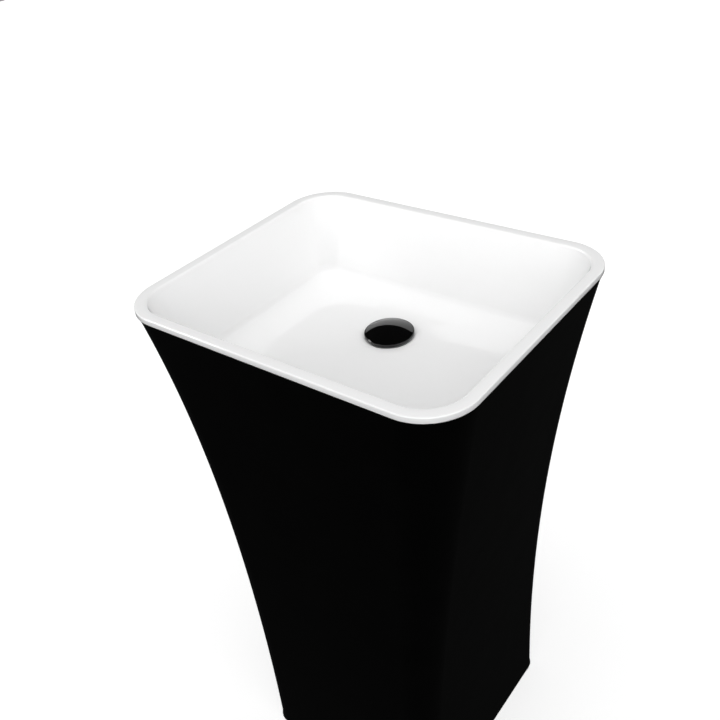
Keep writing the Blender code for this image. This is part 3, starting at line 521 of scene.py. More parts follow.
def moulded_rubber():
    """Black EPDM rubber, compression moulded: matt, with a dusty bloom."""
    material, tree, shader, place = new_material("moulded_black_rubber")
    bloom = add_node(tree, "ShaderNodeTexNoise", {"Vector": place, "Scale": 1 / 0.005, "Detail": 5.0})
    pores = add_node(tree, "ShaderNodeTexNoise", {"Vector": place, "Scale": 1 / 0.0006, "Detail": 2.0})
    fill_inputs(shader, {
        "Base Color": add_node(
            tree, "ShaderNodeMix", {0: bloom, 6: linear("161616"), 7: linear("242423")}, 2, data_type="RGBA"
        ),
        "IOR": 1.52,
        "Roughness": add_node(tree, "ShaderNodeMapRange", {"Value": bloom, "To Min": 0.6, "To Max": 0.78}),
        "Normal": add_node(tree, "ShaderNodeBump", {"Height": pores, "Distance": 0.00003}),
    })
    return material


def gunned_adhesive():
    """Black polyurethane adhesive, gunned in and tooled off: dull, with a wavy skin."""
    material, tree, shader, place = new_material("gunned_black_adhesive")
    skin = add_node(tree, "ShaderNodeTexNoise", {"Vector": place, "Scale": 1 / 0.007, "Detail": 2.0})
    fill_inputs(shader, {
        "Base Color": add_node(
            tree, "ShaderNodeMix", {0: skin, 6: linear("101010"), 7: linear("1A1A1A")}, 2, data_type="RGBA"
        ),
        "IOR": 1.5,
        "Roughness": add_node(tree, "ShaderNodeMapRange", {"Value": skin, "To Min": 0.45, "To Max": 0.6}),
        "Normal": add_node(tree, "ShaderNodeBump", {"Height": skin, "Distance": 0.0002}),
    })
    return material


def painted_floor(colour):
    """Matt white paint on a studio floor: even, with a trace of roller texture."""
    material, tree, shader, place = new_material("matt_studio_paint")
    nap = add_node(tree, "ShaderNodeTexNoise", {"Vector": place, "Scale": 1 / 0.004, "Detail": 3.0})
    fill_inputs(shader, {
        "Base Color": linear(colour),
        "IOR": 1.45,
        "Specular IOR Level": 0.2,
        "Roughness": add_node(tree, "ShaderNodeMapRange", {"Value": nap, "To Min": 0.75, "To Max": 0.9}),
        "Emission Color": linear("FFFFFF"),
        "Emission Strength": 0.6,
    })
    return material


def finish_for(slot, finishes):
    """The material of a slot of the record, made once."""
    makers = {
        "white_gelcoat": ("polished_white_gelcoat", lambda: polished_gelcoat(finishes.bowl)),
        "black_gelcoat": ("satin_black_gelcoat", lambda: satin_gelcoat(finishes.shell)),
        "black_enamel": ("baked_black_lacquer", lambda: baked_lacquer(finishes.cap)),
        "bonding_paste": ("gunned_black_adhesive", gunned_adhesive),
        "black_rubber": ("moulded_black_rubber", moulded_rubber),
        "chromed_brass": ("bright_chrome_plate", chrome_plate),
        "bare_brass": ("machined_brass", machined_brass),
        "zinc_steel": ("bright_zinc_plate", zinc_plate),
        "spring_steel": ("hard_drawn_spring_steel", drawn_wire),
        "white_plastic": ("moulded_white_nylon", moulded_nylon),
        "raw_white": ("raw_white_casting", lambda: raw_casting("raw_white_casting", "CFCDC6", "DDDBD5")),
        "raw_black": ("raw_black_casting", lambda: raw_casting("raw_black_casting", "151515", "202020")),
    }
    name, make = makers[slot]
    return bpy.data.materials.get(name) or make()


# ---------------------------------------------------------------- bowl
def bowl_wall(sizes, share, z):
    """Half width, half depth and corner of the inner wall, from share 0 at the rim to 1 at its foot."""
    down = min(1.0, max(0.0, (sizes.top - z) / sizes.inside_depth))
    half_x = sizes.width / 2 - sizes.rim_land - sizes.draft_x * share
    half_y = sizes.depth / 2 - sizes.rim_land - sizes.draft_y * share
    return half_x, half_y, sizes.corner_top + (sizes.corner_floor - sizes.corner_top) * down


def quarter_turn(steps):
    """Sine and cosine of even steps from 0 to 90 degrees."""
    angles = [math.radians(90 * step / steps) for step in range(steps + 1)]
    return [(math.sin(angle), math.cos(angle)) for angle in angles]


def arc(before, corner, after, radius, steps):
    """Points along the arc that rounds the corner between two straight runs."""
    rounded = softened([(*corner, radius), (*after, 0.0), (*before, 0.0)], steps)
    return rounded[: steps + 1]


def mean_draft(sizes):
    return (sizes.draft_x + sizes.draft_y) / 2


def foot_fillet(sizes):
    """The fillet from floor to wall, as points in from the top of the wall and down from the rim."""
    foot = (mean_draft(sizes), -sizes.inside_depth)
    return arc((foot[0] + RUN, foot[1]), foot, (0.0, 0.0), sizes.floor_fillet, 14)


def bowl_inside(sizes):
    """Up the inner wall: floor fillet, wall and the rim's inner edge."""
    draft = mean_draft(sizes)
    stations = []
    for across, down in foot_fillet(sizes):
        z = sizes.top + down
        stations.append(rounded_rectangle(*bowl_wall(sizes, across / draft, z), 0.0, z))
    for share in (0.75, 0.6, 0.45, 0.3, 0.15):
        z = sizes.top - sizes.inside_depth * share
        stations.append(rounded_rectangle(*bowl_wall(sizes, share, z), 0.0, z))
    edge = sizes.inner_edge
    half_x, half_y, corner = bowl_wall(sizes, edge / sizes.inside_depth, sizes.top)
    for sine, cosine in quarter_turn(8):
        out = edge * (1 - cosine)
        z = sizes.top - edge * (1 - sine)
        stations.append(rounded_rectangle(half_x + out, half_y + out, corner + out, 0.0, z))
    return stations


def bowl_outside(bowl, shell):
    """Over the rim's outer edge, down the lip and the collar."""
    edge, under_lip = bowl.outer_edge, bowl.top - bowl.lip
    rows = []
    for sine, cosine in quarter_turn(6):
        rows.append((edge * (1 - sine), bowl.top - edge * (1 - cosine)))
    for sine, cosine in quarter_turn(4):
        rows.append((edge / 2 * (1 - cosine), under_lip + edge / 2 * (1 - sine)))
    half_x, half_y, corner = bowl.width / 2, bowl.depth / 2, bowl.rim_corner
    stations = []
    for inset, z in rows:
        stations.append(rounded_rectangle(half_x - inset, half_y - inset, corner - inset, 0.0, z))
    inset = shell.wall + BOND + 2 * CLEARANCE
    for z in (under_lip, under_lip - bowl.collar + 0.001, under_lip - bowl.collar):
        tip = 0.0006 if z == under_lip - bowl.collar else 0.0
        level = min(z, shell.top)
        stations.append(shell_ring(shell, level, inset + tip, z))
    return stations


def bowl_underside(sizes):
    """The back of the casting, one wall thickness outside its inner face."""
    draft = mean_draft(sizes)
    level = -sizes.inside_depth - sizes.wall
    foot = (-draft * level / sizes.inside_depth - sizes.wall, level)
    stations = []
    for across, down in arc((-sizes.wall, 0.0), foot, (foot[0] + RUN, level), sizes.under_fillet, 10):
        half_x, half_y, corner = bowl_wall(sizes, across / draft, sizes.top + down)
        stations.append((half_x, half_y, corner + sizes.wall, 0.0, sizes.top + down))
    return stations


def between(first, last, steps, ease=1.0):
    """Ring sizes from one to another, without either; the height is eased to meet the last one level."""
    rows = []
    for step in range(1, steps):
        share = step / steps
        row = [a + (b - a) * share for a, b in zip(first, last)]
        row[-1] = first[-1] + (last[-1] - first[-1]) * (1 - (1 - share) ** ease)
        rows.append(rounded_rectangle(*row))
    return rows


def ring_about_waste(radius, z):
    return (radius, radius, radius, middle_y("waste_cap"), z)


class SINK_OT_bowl(bpy.types.Operator):
    """Casts the bowl: floor with its fall, walls, rim, lip, collar and underside"""

    bl_idname = "sink.bowl"
    bl_label = "Bowl"

    def execute(self, context):
        sizes, shell = context.scene.sink_bowl, context.scene.sink_shell
        floor_z = sizes.top - sizes.inside_depth - sizes.floor_fall
        recess_z = floor_z - sizes.recess_depth
        under_z = floor_z - sizes.boss_thickness
        recess_edge = ring_about_waste(sizes.recess + 0.0008, floor_z)
        foot_z = sizes.top - sizes.inside_depth
        share = foot_fillet(sizes)[0][0] / mean_draft(sizes)
        foot = (*bowl_wall(sizes, share, foot_z), 0.0, foot_z)
        stations = [
            rounded_rectangle(*ring_about_waste(sizes.hole, recess_z - 0.0006)),
            rounded_rectangle(*ring_about_waste(sizes.hole + 0.0006, recess_z)),
            rounded_rectangle(*ring_about_waste(sizes.recess, recess_z)),
            rounded_rectangle(*ring_about_waste(sizes.recess, floor_z - 0.0008)),
            rounded_rectangle(*ring_about_waste(sizes.recess + 0.00025, floor_z - 0.00025)),
            rounded_rectangle(*recess_edge),
        ]
        stations += between(recess_edge, foot, 16, 1.6)
        stations += bowl_inside(sizes) + bowl_outside(sizes, shell)
        under = bowl_underside(sizes)
        stations += [rounded_rectangle(*row) for row in under]
        boss = ring_about_waste(sizes.boss, under_z)
        stations += between(under[-1], boss, 8)
        stations += [rounded_rectangle(*boss), rounded_rectangle(*ring_about_waste(sizes.hole, under_z))]
        polished = finish_for("white_gelcoat", context.scene.sink_finishes)
        raw = finish_for("raw_white", context.scene.sink_finishes)
        lip_z = sizes.top - sizes.lip - 0.0005

        def back_of_casting(face):
            return 1 if face.normal.z < 0.35 and outside_wall(face, sizes, lip_z) else 0

        bm = drawn(stations, BOWL_POINTS)
        finished("bowl_casting", bm, [polished, raw], "sink", ["basin"], back_of_casting)
        return {"FINISHED"}


def outside_wall(face, sizes, lip_z):
    """True for a face of the casting's back: it looks down or outwards from below the lip."""
    centre = face.calc_center_median()
    outwards = face.normal.x * centre.x + face.normal.y * centre.y
    return centre.z < lip_z and (face.normal.z < -0.02 or outwards > 0)


# ---------------------------------------------------------------- shell
def shell_ring(sizes, level, inset=0.0, z=None):
    """The shell's section at a level, taken in from its outer face."""
    drop = (sizes.top - level) / sizes.top
    sweep_x = 1 - (1 - drop) ** sizes.flare_x
    sweep_y = 1 - (1 - drop) ** sizes.flare_y
    half_x = sizes.top_width / 2 + (sizes.foot_width - sizes.top_width) / 2 * sweep_x
    half_y = sizes.top_depth / 2 + (sizes.foot_depth - sizes.top_depth) / 2 * sweep_y
    corner = sizes.corner_top + (sizes.corner_foot - sizes.corner_top) * drop
    return rounded_rectangle(half_x - inset, half_y - inset, corner - inset, 0.0, level if z is None else z)


def shell_rows(sizes):
    """Levels from top to bottom, closer together near the top where the wall curves most."""
    height = sizes.top - sizes.bottom - 2 * sizes.edge
    return [sizes.top - sizes.edge - height * (step / 56) ** 1.25 for step in range(57)]


def edge_rows(sizes, at_top):
    """The rounding of one edge, from the outer face to the inner face."""
    rows = []
    level = sizes.top if at_top else sizes.bottom
    inward = -1 if at_top else 1
    for sine, cosine in quarter_turn(4):
        rows.append((sizes.edge * (1 - cosine), level + inward * sizes.edge * (1 - sine)))
    for sine, cosine in quarter_turn(4):
        rows.append((sizes.wall - sizes.edge * (1 - sine), level + inward * sizes.edge * (1 - cosine)))
    return rows


def cut_out(piece, cutter_bm):
    """Cuts a closed shape out of a piece and applies the cut."""
    cutter_mesh = bpy.data.meshes.new("cutter")
    bmesh.ops.recalc_face_normals(cutter_bm, faces=cutter_bm.faces)
    cutter_bm.to_mesh(cutter_mesh)
    cutter_bm.free()
    cutter = bpy.data.objects.new("cutter", cutter_mesh)
    bpy.context.scene.collection.objects.link(cutter)
    cut = piece.modifiers.new("cut", "BOOLEAN")
    cut.operation = "DIFFERENCE"
    cut.solver = "EXACT"
    cut.object = cutter
    bpy.context.view_layer.update()
    graph = bpy.context.evaluated_depsgraph_get()
    made = bpy.data.meshes.new_from_object(piece.evaluated_get(graph))
    piece.modifiers.remove(cut)
    piece.data = made
    bpy.data.objects.remove(cutter, do_unlink=True)


def rounded_block(corner_low, corner_high, rounding):
    """A block whose four edges along Y are rounded."""
    bm = bmesh.new()
    size = corner_high - corner_low
    matrix = Matrix.Translation((corner_low + corner_high) / 2) @ Matrix.Diagonal((*size, 1.0))
    bmesh.ops.create_cube(bm, size=1.0, matrix=matrix)
    edges = [e for e in bm.edges if abs(e.verts[0].co.y - e.verts[1].co.y) > size.y / 2]
    bmesh.ops.bevel(
        bm, geom=edges, offset=rounding, segments=14, profile=0.5, affect="EDGES", material=-1,
        clamp_overlap=True,
    )
    return bm


class SINK_OT_shell(bpy.types.Operator):
    """Lays up the flared shell, with the service opening in its back"""

    bl_idname = "sink.shell"
    bl_label = "Shell"

    def execute(self, context):
        sizes = context.scene.sink_shell
        levels = shell_rows(sizes)
        stations = [shell_ring(sizes, level) for level in levels]
        stations += [shell_ring(sizes, sizes.bottom, inset, z) for inset, z in edge_rows(sizes, False)]
        stations += [shell_ring(sizes, level, sizes.wall) for level in reversed(levels)]
        top_edge = reversed(edge_rows(sizes, True))
        stations += [shell_ring(sizes, sizes.top, inset, z) for inset, z in top_edge]
        satin = finish_for("black_gelcoat", context.scene.sink_finishes)
        raw = finish_for("raw_black", context.scene.sink_finishes)

        def inside(face):
            centre = face.calc_center_median()
            inwards = face.normal.x * centre.x + face.normal.y * centre.y < 0
            return 1 if inwards and abs(face.normal.z) < 0.9 else 0

        bm = drawn(stations, SHELL_POINTS)
        piece = finished("flared_shell", bm, [satin, raw], "sink", ["pedestal_shell"], inside)
        corner_low = Vector((-sizes.hatch_width / 2, sizes.top_depth / 4, sizes.hatch_bottom))
        corner_high = Vector((sizes.hatch_width / 2, sizes.top_depth, sizes.hatch_top))
        cut_out(piece, rounded_block(corner_low, corner_high, sizes.hatch_corner))
        piece.data.set_sharp_from_angle(angle=CRISP)
        rounding = piece.modifiers.new("hatch edge", "BEVEL")
        rounding.width = 0.0012
        rounding.segments = 3
        rounding.limit_method = "ANGLE"
        rounding.angle_limit = math.radians(50)
        rounding.use_clamp_overlap = False
        return {"FINISHED"}


class SINK_OT_seals(bpy.types.Operator):
    """Runs the bond line round the bowl's collar and the rubber strip under the foot"""

    bl_idname = "sink.seals"
    bl_label = "Bond and foot seal"

    def execute(self, context):
        sizes, finishes = context.scene.sink_shell, context.scene.sink_finishes
        bottom = low("rim_bond").z
        near = sizes.wall + CLEARANCE
        far = near + BOND
        rows = [(near, sizes.top), (near, bottom + 0.0005), (near + 0.0005, bottom), (far, bottom),
                (far, sizes.top)]
        bond = drawn([shell_ring(sizes, z, inset) for inset, z in rows], BOWL_POINTS)
        finished("bond_line", bond, [finish_for("bonding_paste", finishes)], "sink", ["rim_bond"])
        strip = high("floor_seal").z
        outline = softened([(SEAL_SETBACK, strip, 0.0004), (SEAL_SETBACK, 0.0, 0.0006),
                            (sizes.wall, 0.0, 0.0006), (sizes.wall, strip, 0.0004)], 4)
        seal = drawn([shell_ring(sizes, sizes.bottom, inset, z) for inset, z in outline], SHELL_POINTS)
        finished("foot_seal", seal, [finish_for("black_rubber", finishes)], "sink", ["floor_seal"])
        return {"FINISHED"}


# ---------------------------------------------------------------- waste
class SINK_OT_cap(bpy.types.Operator):
    """Spins the domed waste cap with its boss"""

    bl_idname = "sink.cap"
    bl_label = "Waste cap"

    def execute(self, context):
        sizes = context.scene.sink_waste
        radius = radius_of("waste_cap")
        top = high("waste_cap").z
        edge_top = top - sizes.cap_rise
        bottom = edge_top - sizes.cap_edge
        boss_bottom = low("waste_cap").z
        socket = sizes.stem + CLEARANCE
        reach = radius - sizes.cap_round
        outline = [(0.0, top)]
        for step in range(1, 41):
            share = step / 40
            outline.append((reach * share, edge_top + sizes.cap_rise * (1 - share ** 2)))
        outline += arc(outline[-2], (radius, edge_top - 0.0002), (radius, bottom), sizes.cap_round, 8)
        outline += arc((radius, edge_top), (radius, bottom), (0.0, bottom), sizes.cap_round, 6)
        outline.append((sizes.cap_boss, bottom))
        outline += softened([
            (sizes.cap_boss, boss_bottom, 0.0005), (socket, boss_bottom, 0.0003),
            (socket, high("cap_stem").z + CLEARANCE, 0.0), (0.0, high("cap_stem").z + CLEARANCE, 0.0),
            (0.0, top, 0.0),
        ], 4)[:-1]
        bm = moved(turned(outline, 128), (0.0, middle_y("waste_cap"), 0.0))
        lacquer = finish_for("black_enamel", context.scene.sink_finishes)
        finished("domed_cap", bm, [lacquer], "cap", ["waste_cap"])
        return {"FINISHED"}


class SINK_OT_waste(bpy.types.Operator):
    """Turns the waste body: flange, bore, crossbar and threaded tube"""

    bl_idname = "sink.waste"
    bl_label = "Waste body"

    def execute(self, context):
        sizes = context.scene.sink_waste
        top, bottom = high("waste_body").z, low("waste_body").z
        flange = radius_of("waste_body")
        under = top - 0.0015
        outline = [(sizes.bore, top - 0.0022, 0.0), (sizes.bore + 0.0022, top, 0.0012), (flange, top, 0.0006),
                   (flange, under, 0.0004), (sizes.tube - 0.0008, under, 0.0)]
        outline += threaded(sizes.tube, sizes.thread_depth, under - 0.011, bottom + 0.001, sizes.pitch)
        outline += [(sizes.tube - sizes.thread_depth, bottom, 0.0003), (sizes.bore, bottom, 0.0003)]
        bm = turned(softened(outline, 4))
        bar_middle = low("click_housing").z + 0.006
        bar = bmesh.ops.create_cube(bm, size=1.0)["verts"]
        bmesh.ops.scale(bm, verts=bar, vec=(2 * sizes.bore + 0.001, 0.009, 0.004))
        bmesh.ops.translate(bm, verts=bar, vec=(0.0, 0.0, bar_middle))
        moved(bm, (0.0, middle_y("waste_body"), 0.0))
        chrome = finish_for("chromed_brass", context.scene.sink_finishes)
        finished("threaded_waste", bm, [chrome], "sink", ["waste_body"])
        return {"FINISHED"}


def nut_stations(radius, bottom, top, bore, lip_bore, lip, sides):
    """A nut with flats, turned chamfers at both ends, and an inward lip at its bottom if it has one."""
    chamfer = 0.0014
    across = radius * 2 * 0.955
    rows = [(radius - chamfer, bottom), (radius - 0.4 * chamfer, bottom + 0.25 * chamfer),
            (radius, bottom + chamfer), (radius, top - chamfer),
            (radius - 0.4 * chamfer, top - 0.25 * chamfer), (radius - chamfer, top)]
    stations = [flatted(reach, z, across, sides) for reach, z in rows]
    inner = [(bore + 0.0006, top), (bore, top - 0.0006)]
    if lip:
        inner += [(bore, bottom + lip), (lip_bore, bottom + lip), (lip_bore, bottom + 0.0004),
                  (lip_bore + 0.0004, bottom)]
    else:
        inner += [(bore, bottom + 0.0006), (bore + 0.0006, bottom)]
    return stations + [flatted(reach, z) for reach, z in inner]


class SINK_OT_nuts(bpy.types.Operator):
    """Makes the backnut and the three slip nuts, each with its flats"""

    bl_idname = "sink.nuts"
    bl_label = "Nuts"

    def execute(self, context):
        waste, trap = context.scene.sink_waste, context.scene.sink_trap
        chrome = finish_for("chromed_brass", context.scene.sink_finishes)
        sides = trap.nut_sides
        loose = 2 * CLEARANCE
        upright = (("large_backnut", "backnut", 6, waste.tube + CLEARANCE, 0.0),
                   ("inlet_slip_nut", "inlet_nut", sides, waste.tube + CLEARANCE, trap.nut_lip))
        for name, node, flats, bore, lip in upright:
            stations = nut_stations(
                radius_of(node), low(node).z, high(node).z, bore, trap.pipe + loose, lip, flats
            )
            bm = moved(drawn(stations, NUT_POINTS), (0.0, middle_y(node), 0.0))
            finished(name, bm, [chrome], "sink", [node])
        stations = nut_stations(
            radius_of("top_nut"), -high("top_nut").z, -low("top_nut").z, trap.neck + CLEARANCE,
            trap.pipe + loose, trap.nut_lip, sides,
        )
        bm = tipped(drawn(stations, NUT_POINTS), math.pi)
        finished("neck_slip_nut", moved(bm, (0.0, middle_y("top_nut"), 0.0)), [chrome], "sink", ["top_nut"])
        stations = nut_stations(
            radius_of("outlet_nut"), -high("outlet_nut").y, -low("outlet_nut").y,
            trap.branch + CLEARANCE, trap.pipe + loose, trap.nut_lip, sides,
        )
        bm = moved(tipped(drawn(stations, NUT_POINTS), math.pi), (0.0, 0.0, middle_z("outlet_nut")), "Y")
        finished("outlet_slip_nut", bm, [chrome], "sink", ["outlet_nut"])
        return {"FINISHED"}


# ---------------------------------------------------------------- trap
class SINK_OT_trap(bpy.types.Operator):
    """Turns the trap's body with its outlet branch, and the cup that screws on below"""

    bl_idname = "sink.trap"
    bl_label = "Bottle trap"

    def execute(self, context):
        sizes = context.scene.sink_trap
        chrome = finish_for("chromed_brass", context.scene.sink_finishes)
        top, bottom = high("trap_body").z, low("trap_body").z
        radius = radius_of("trap_body")
        shoulder = top - sizes.neck_height
        inner = radius - sizes.wall
        bore = sizes.pipe + 4 * CLEARANCE
        thread_top = high("trap_cup").z + 0.001
        outline = [(bore, top, 0.0004), (sizes.neck, top, 0.0008), (sizes.neck, shoulder, 0.0012),
                   (radius - 0.0012, shoulder - 0.0025, 0.003), (radius, shoulder - 0.010, 0.004),
                   (radius, thread_top + 0.001, 0.0)]
        outline += threaded(radius, 0.0007, thread_top, bottom + 0.001, 0.002)
        outline += [(radius - 0.0007, bottom, 0.0), (inner, bottom, 0.0004),
                    (inner, shoulder - 0.007, 0.003), (bore, shoulder - 0.005, 0.0008)]
        bm = moved(turned(softened(outline, 6)), (0.0, middle_y("trap_cup"), 0.0))
        mouth = low("outlet_washer").y - CLEARANCE
        root = middle_y("trap_cup") + inner + 0.0006
        pipe_bore = sizes.pipe + 2 * CLEARANCE
        collar = [(sizes.branch + 0.004, root, 0.0), (sizes.branch + 0.004, root + 0.001, 0.0),
                  (sizes.branch, root + 0.0065, 0.004), (sizes.branch, mouth, 0.0006),
                  (pipe_bore, mouth, 0.0004), (pipe_bore, root, 0.0)]
        branch = turned(softened(collar, 8), 72)
        branch_mesh = bpy.data.meshes.new("branch")
        moved(branch, (0.0, 0.0, middle_z("outlet_pipe")), "Y").to_mesh(branch_mesh)
        branch.free()
        bm.from_mesh(branch_mesh)
        bpy.data.meshes.remove(branch_mesh)
        finished("trap_vessel", bm, [chrome], "sink", ["trap_body"])
        self.make_cup(sizes, chrome)
        return {"FINISHED"}

    def make_cup(self, sizes, chrome):
        top, bottom, radius = high("trap_cup").z, low("trap_cup").z, radius_of("trap_cup")
        ledge = low("cup_seal").z - CLEARANCE
        thread = radius_of("cup_seal") + 2 * CLEARANCE
        band_foot = ledge - 0.006
        waist = radius - 0.003
        bore = radius - 0.0059
        stations = [flatted(radius - 0.001, top), gripped(radius - 0.0003, top - 0.0003, 0.0, 1),
                    gripped(radius, top - 0.001, 0.0, 1), gripped(radius, top - 0.003, 0.0, 1)]
        grip_top, grip_foot = top - 0.0035, band_foot + 0.0015
        for step in range(11):
            share = step / 10
            hollow = 0.0011 * min(1.0, 6 * share, 6 * (1 - share))
            level = grip_top + (grip_foot - grip_top) * share
            stations.append(gripped(radius, level, hollow, sizes.cup_grips))
        lower = softened([
            (radius, grip_foot - 0.0002, 0.0), (radius, band_foot, 0.001), (waist, band_foot - 0.004, 0.002),
            (waist, bottom + 0.006, 0.006), (radius - 0.0125, bottom, 0.003), (0.004, bottom, 0.0),
        ], 8)
        stations += [flatted(reach, z) for reach, z in lower]
        stations += [flatted(0.0, bottom), flatted(0.0, bottom + sizes.wall)]
        inside = softened([
            (0.002, bottom + sizes.wall, 0.0), (bore - 0.003, bottom + sizes.wall, 0.006),
            (bore, ledge, 0.0), (thread, ledge, 0.0), (thread, top - 0.001, 0.0), (thread + 0.0008, top, 0.0),
        ], 8)
        stations += [flatted(reach, z) for reach, z in inside]
        bm = moved(drawn(stations, 8 * sizes.cup_grips), (0.0, middle_y("trap_cup"), 0.0))
        finished("screw_cup", bm, [chrome], "cup", ["trap_cup"])


class SINK_OT_pipes(bpy.types.Operator):
    """Turns the trap's dip pipe, the drain pipe to the wall and its cover plate"""

    bl_idname = "sink.pipes"
    bl_label = "Pipes"

    def execute(self, context):
        sizes = context.scene.sink_trap
        chrome = finish_for("chromed_brass", context.scene.sink_finishes)
        pipe, bore = sizes.pipe, sizes.pipe - sizes.pipe_wall
        top, bottom, flange = high("inlet_pipe").z, low("inlet_pipe").z, radius_of("inlet_pipe")
        outline = [(flange, top, 0.0004), (flange, top - 0.002, 0.0004), (pipe, top - 0.002, 0.001),
                   (pipe, bottom, 0.0005), (bore, bottom, 0.0005), (bore, top, 0.0005)]
        bm = moved(turned(softened(outline)), (0.0, middle_y("inlet_pipe"), 0.0))
        finished("dip_pipe", bm, [chrome], "sink", ["inlet_pipe"])
        start, end = low("outlet_pipe").y, high("outlet_pipe").y
        axis = (0.0, 0.0, middle_z("outlet_pipe"))
        outline = [(pipe, start, 0.0005), (pipe, end, 0.0005), (bore, end, 0.0005), (bore, start, 0.0005)]
        bm = moved(turned(softened(outline)), axis, "Y")
        finished("drain_pipe", bm, [chrome], "sink", ["outlet_pipe"])
        front, wall, plate = low("wall_rosette").y, high("wall_rosette").y, radius_of("wall_rosette")
        collar, rise = pipe + PLATE_COLLAR, wall - front - PLATE_EDGE
        outline = [(pipe + CLEARANCE, front, 0.0004), (collar, front, 0.0012)]
        for step in range(1, 13):
            share = step / 13
            outline.append((collar + (plate - collar) * share, front + rise * share ** 1.7, 0.0))
        outline += [(plate, wall - PLATE_EDGE, 0.0005), (plate, wall, 0.0003), (pipe + CLEARANCE, wall, 0.0)]
        bm = moved(turned(softened(outline), 128), axis, "Y")
        finished("wall_plate", bm, [chrome], "sink", ["wall_rosette"])
        return {"FINISHED"}


class SINK_OT_fittings(bpy.types.Operator):
    """Gives every small fitting that is used as it stands its own finish"""

    bl_idname = "sink.fittings"
    bl_label = "Fittings"

    def execute(self, context):
        for name, node in frame["nodes"].items():
            material = finish_for(slots[name], context.scene.sink_finishes)
            for slot in node.material_slots:
                slot.material = material
        return {"FINISHED"}


# ---------------------------------------------------------------- stage
def camera_pose(stage, target):
    """The camera's matrix from its azimuth, elevation, roll, distance and sideways moves."""
    azimuth, elevation, roll = (math.radians(a) for a in (stage.azimuth, stage.elevation, stage.roll))
    level = math.cos(elevation)
    back = Vector((math.sin(azimuth) * level, -math.cos(azimuth) * level, math.sin(elevation)))
    right = Vector((math.cos(azimuth), math.sin(azimuth), 0.0))
    up = back.cross(right)
    right, up = right * math.cos(roll) + up * math.sin(roll), up * math.cos(roll) - right * math.sin(roll)
    place = target + back * stage.distance + right * stage.aside[0] + up * stage.aside[1]
    matrix = Matrix((right, up, back)).transposed().to_4x4()
    matrix.translation = place
    return matrix


def add_light(name, direction, spread_angle, strength):
    """A wide, far soft light that shines evenly from a direction."""
    light = bpy.data.lights.new(name, "SUN")
    light.angle = math.radians(spread_angle)
    light.energy = strength
    lamp = bpy.data.objects.new(name, light)
    lamp.rotation_euler = Vector(direction).to_track_quat("Z", "Y").to_euler()
    bpy.context.scene.collection.objects.link(lamp)
    return lamp


def add_surroundings(scene):
    """A dim room with a pale band at eye level, so that gloss shows the band and little else."""
    world = bpy.data.worlds.new("studio_room")
    scene.world = world
    world.use_nodes = True
    tree = world.node_tree
    direction = add_node(tree, "ShaderNodeTexCoord", {}, "Generated")
    height = add_node(tree, "ShaderNodeSeparateXYZ", {"Vector": direction}, "Z")
    raised = add_node(tree, "ShaderNodeMapRange", {"Value": height, "From Min": -1.0, "From Max": 1.0})
    room = add_node(tree, "ShaderNodeValToRGB", {"Fac": raised})
    ramp = room.node
    stops = ((0.40, "262626"), (0.49, "EEEEEE"), (0.55, "EEEEEE"), (0.68, "262626"))
    while len(ramp.color_ramp.elements) < len(stops):
        ramp.color_ramp.elements.new(0.5)
    for stop, (position, colour) in zip(ramp.color_ramp.elements, stops):
        stop.position = position
        stop.color = linear(colour)
    fill_inputs(tree.nodes["Background"], {"Color": room})


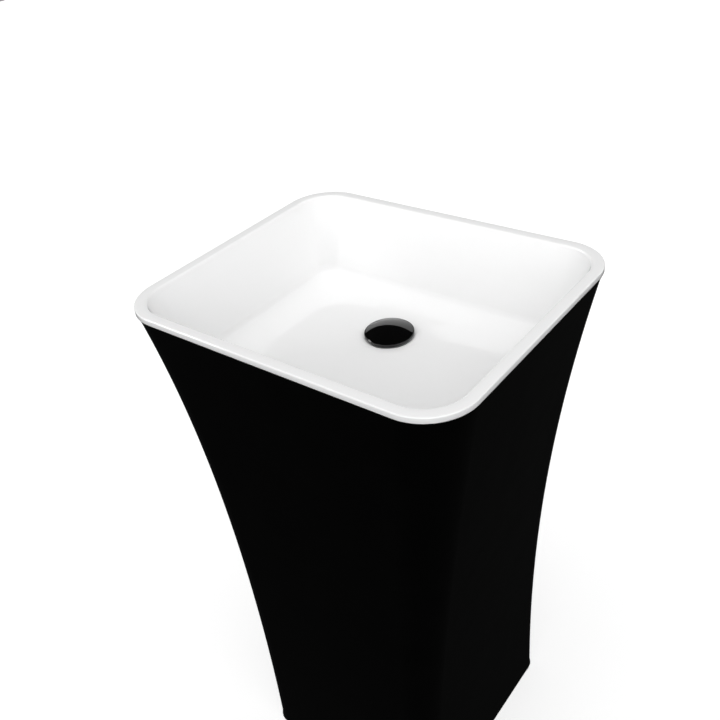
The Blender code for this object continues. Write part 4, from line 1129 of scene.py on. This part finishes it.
class SINK_OT_stage(bpy.types.Operator):
    """Sets the floor, the soft lights, the room and the camera"""

    bl_idname = "sink.stage"
    bl_label = "Studio"

    def execute(self, context):
        stage, scene = context.scene.sink_stage, context.scene
        bm = bmesh.new()
        bmesh.ops.create_grid(bm, x_segments=2, y_segments=2, size=stage.floor_size / 2)
        mesh = bpy.data.meshes.new("studio_floor")
        bm.to_mesh(mesh)
        bm.free()
        mesh.materials.append(painted_floor(scene.sink_finishes.floor))
        floor = bpy.data.objects.new("studio_floor", mesh)
        scene.collection.objects.link(floor)
        floor.visible_diffuse = False
        floor.visible_glossy = False
        rim = Vector((0.0, 0.0, scene.sink_bowl.top))
        for name, direction, spread_angle, strength in (
            ("key", (-0.72, 0.0, 0.70), 10.0, stage.key), ("fill", (0.72, -0.63, 0.28), 9.0, stage.fill),
        ):
            add_light(name, direction, spread_angle, strength).visible_diffuse = False
        add_light("sky", (0.26, -0.46, 0.85), 120.0, stage.sky).visible_glossy = False
        add_surroundings(scene)
        camera_data = bpy.data.cameras.new("camera")
        camera_data.lens = stage.lens
        camera_data.sensor_width = 36.0
        camera = bpy.data.objects.new("camera", camera_data)
        camera.matrix_world = camera_pose(stage, rim)
        scene.collection.objects.link(camera)
        scene.camera = camera
        scene.view_settings.view_transform = "Standard"
        return {"FINISHED"}


# ---------------------------------------------------------------- panel and registration
class SINK_PT_panel(bpy.types.Panel):
    """Lists the sink's pieces and sizes in the sidebar"""

    bl_idname = "SINK_PT_panel"
    bl_label = "Pedestal Sink"
    bl_space_type = "VIEW_3D"
    bl_region_type = "UI"
    bl_category = "Sink"

    def draw(self, context):
        for operator in OPERATORS:
            self.layout.operator(operator.bl_idname)
        for name in GROUPS:
            box = self.layout.box()
            group = getattr(context.scene, name)
            for prop in group.bl_rna.properties:
                if prop.identifier not in ("rna_type", "name"):
                    box.prop(group, prop.identifier)


GROUPS = {
    "sink_bowl": SinkBowlSizes,
    "sink_shell": SinkShellSizes,
    "sink_waste": SinkWasteSizes,
    "sink_trap": SinkTrapSizes,
    "sink_finishes": SinkFinishes,
    "sink_stage": SinkStageSizes,
}
OPERATORS = (
    SINK_OT_fittings, SINK_OT_bowl, SINK_OT_shell, SINK_OT_seals, SINK_OT_cap, SINK_OT_waste, SINK_OT_nuts,
    SINK_OT_trap, SINK_OT_pipes, SINK_OT_stage,
)


def register():
    for cls in (*GROUPS.values(), *OPERATORS, SINK_PT_panel):
        bpy.utils.register_class(cls)
    for name, group in GROUPS.items():
        setattr(bpy.types.Scene, name, PointerProperty(type=group))


def unregister():
    for name in GROUPS:
        delattr(bpy.types.Scene, name)
    for cls in (SINK_PT_panel, *reversed(OPERATORS), *reversed(GROUPS.values())):
        bpy.utils.unregister_class(cls)


def main():
    register()
    for operator in OPERATORS:
        family, action = operator.bl_idname.split(".")
        getattr(getattr(bpy.ops, family), action)()


if __name__ == "__main__":
    main()
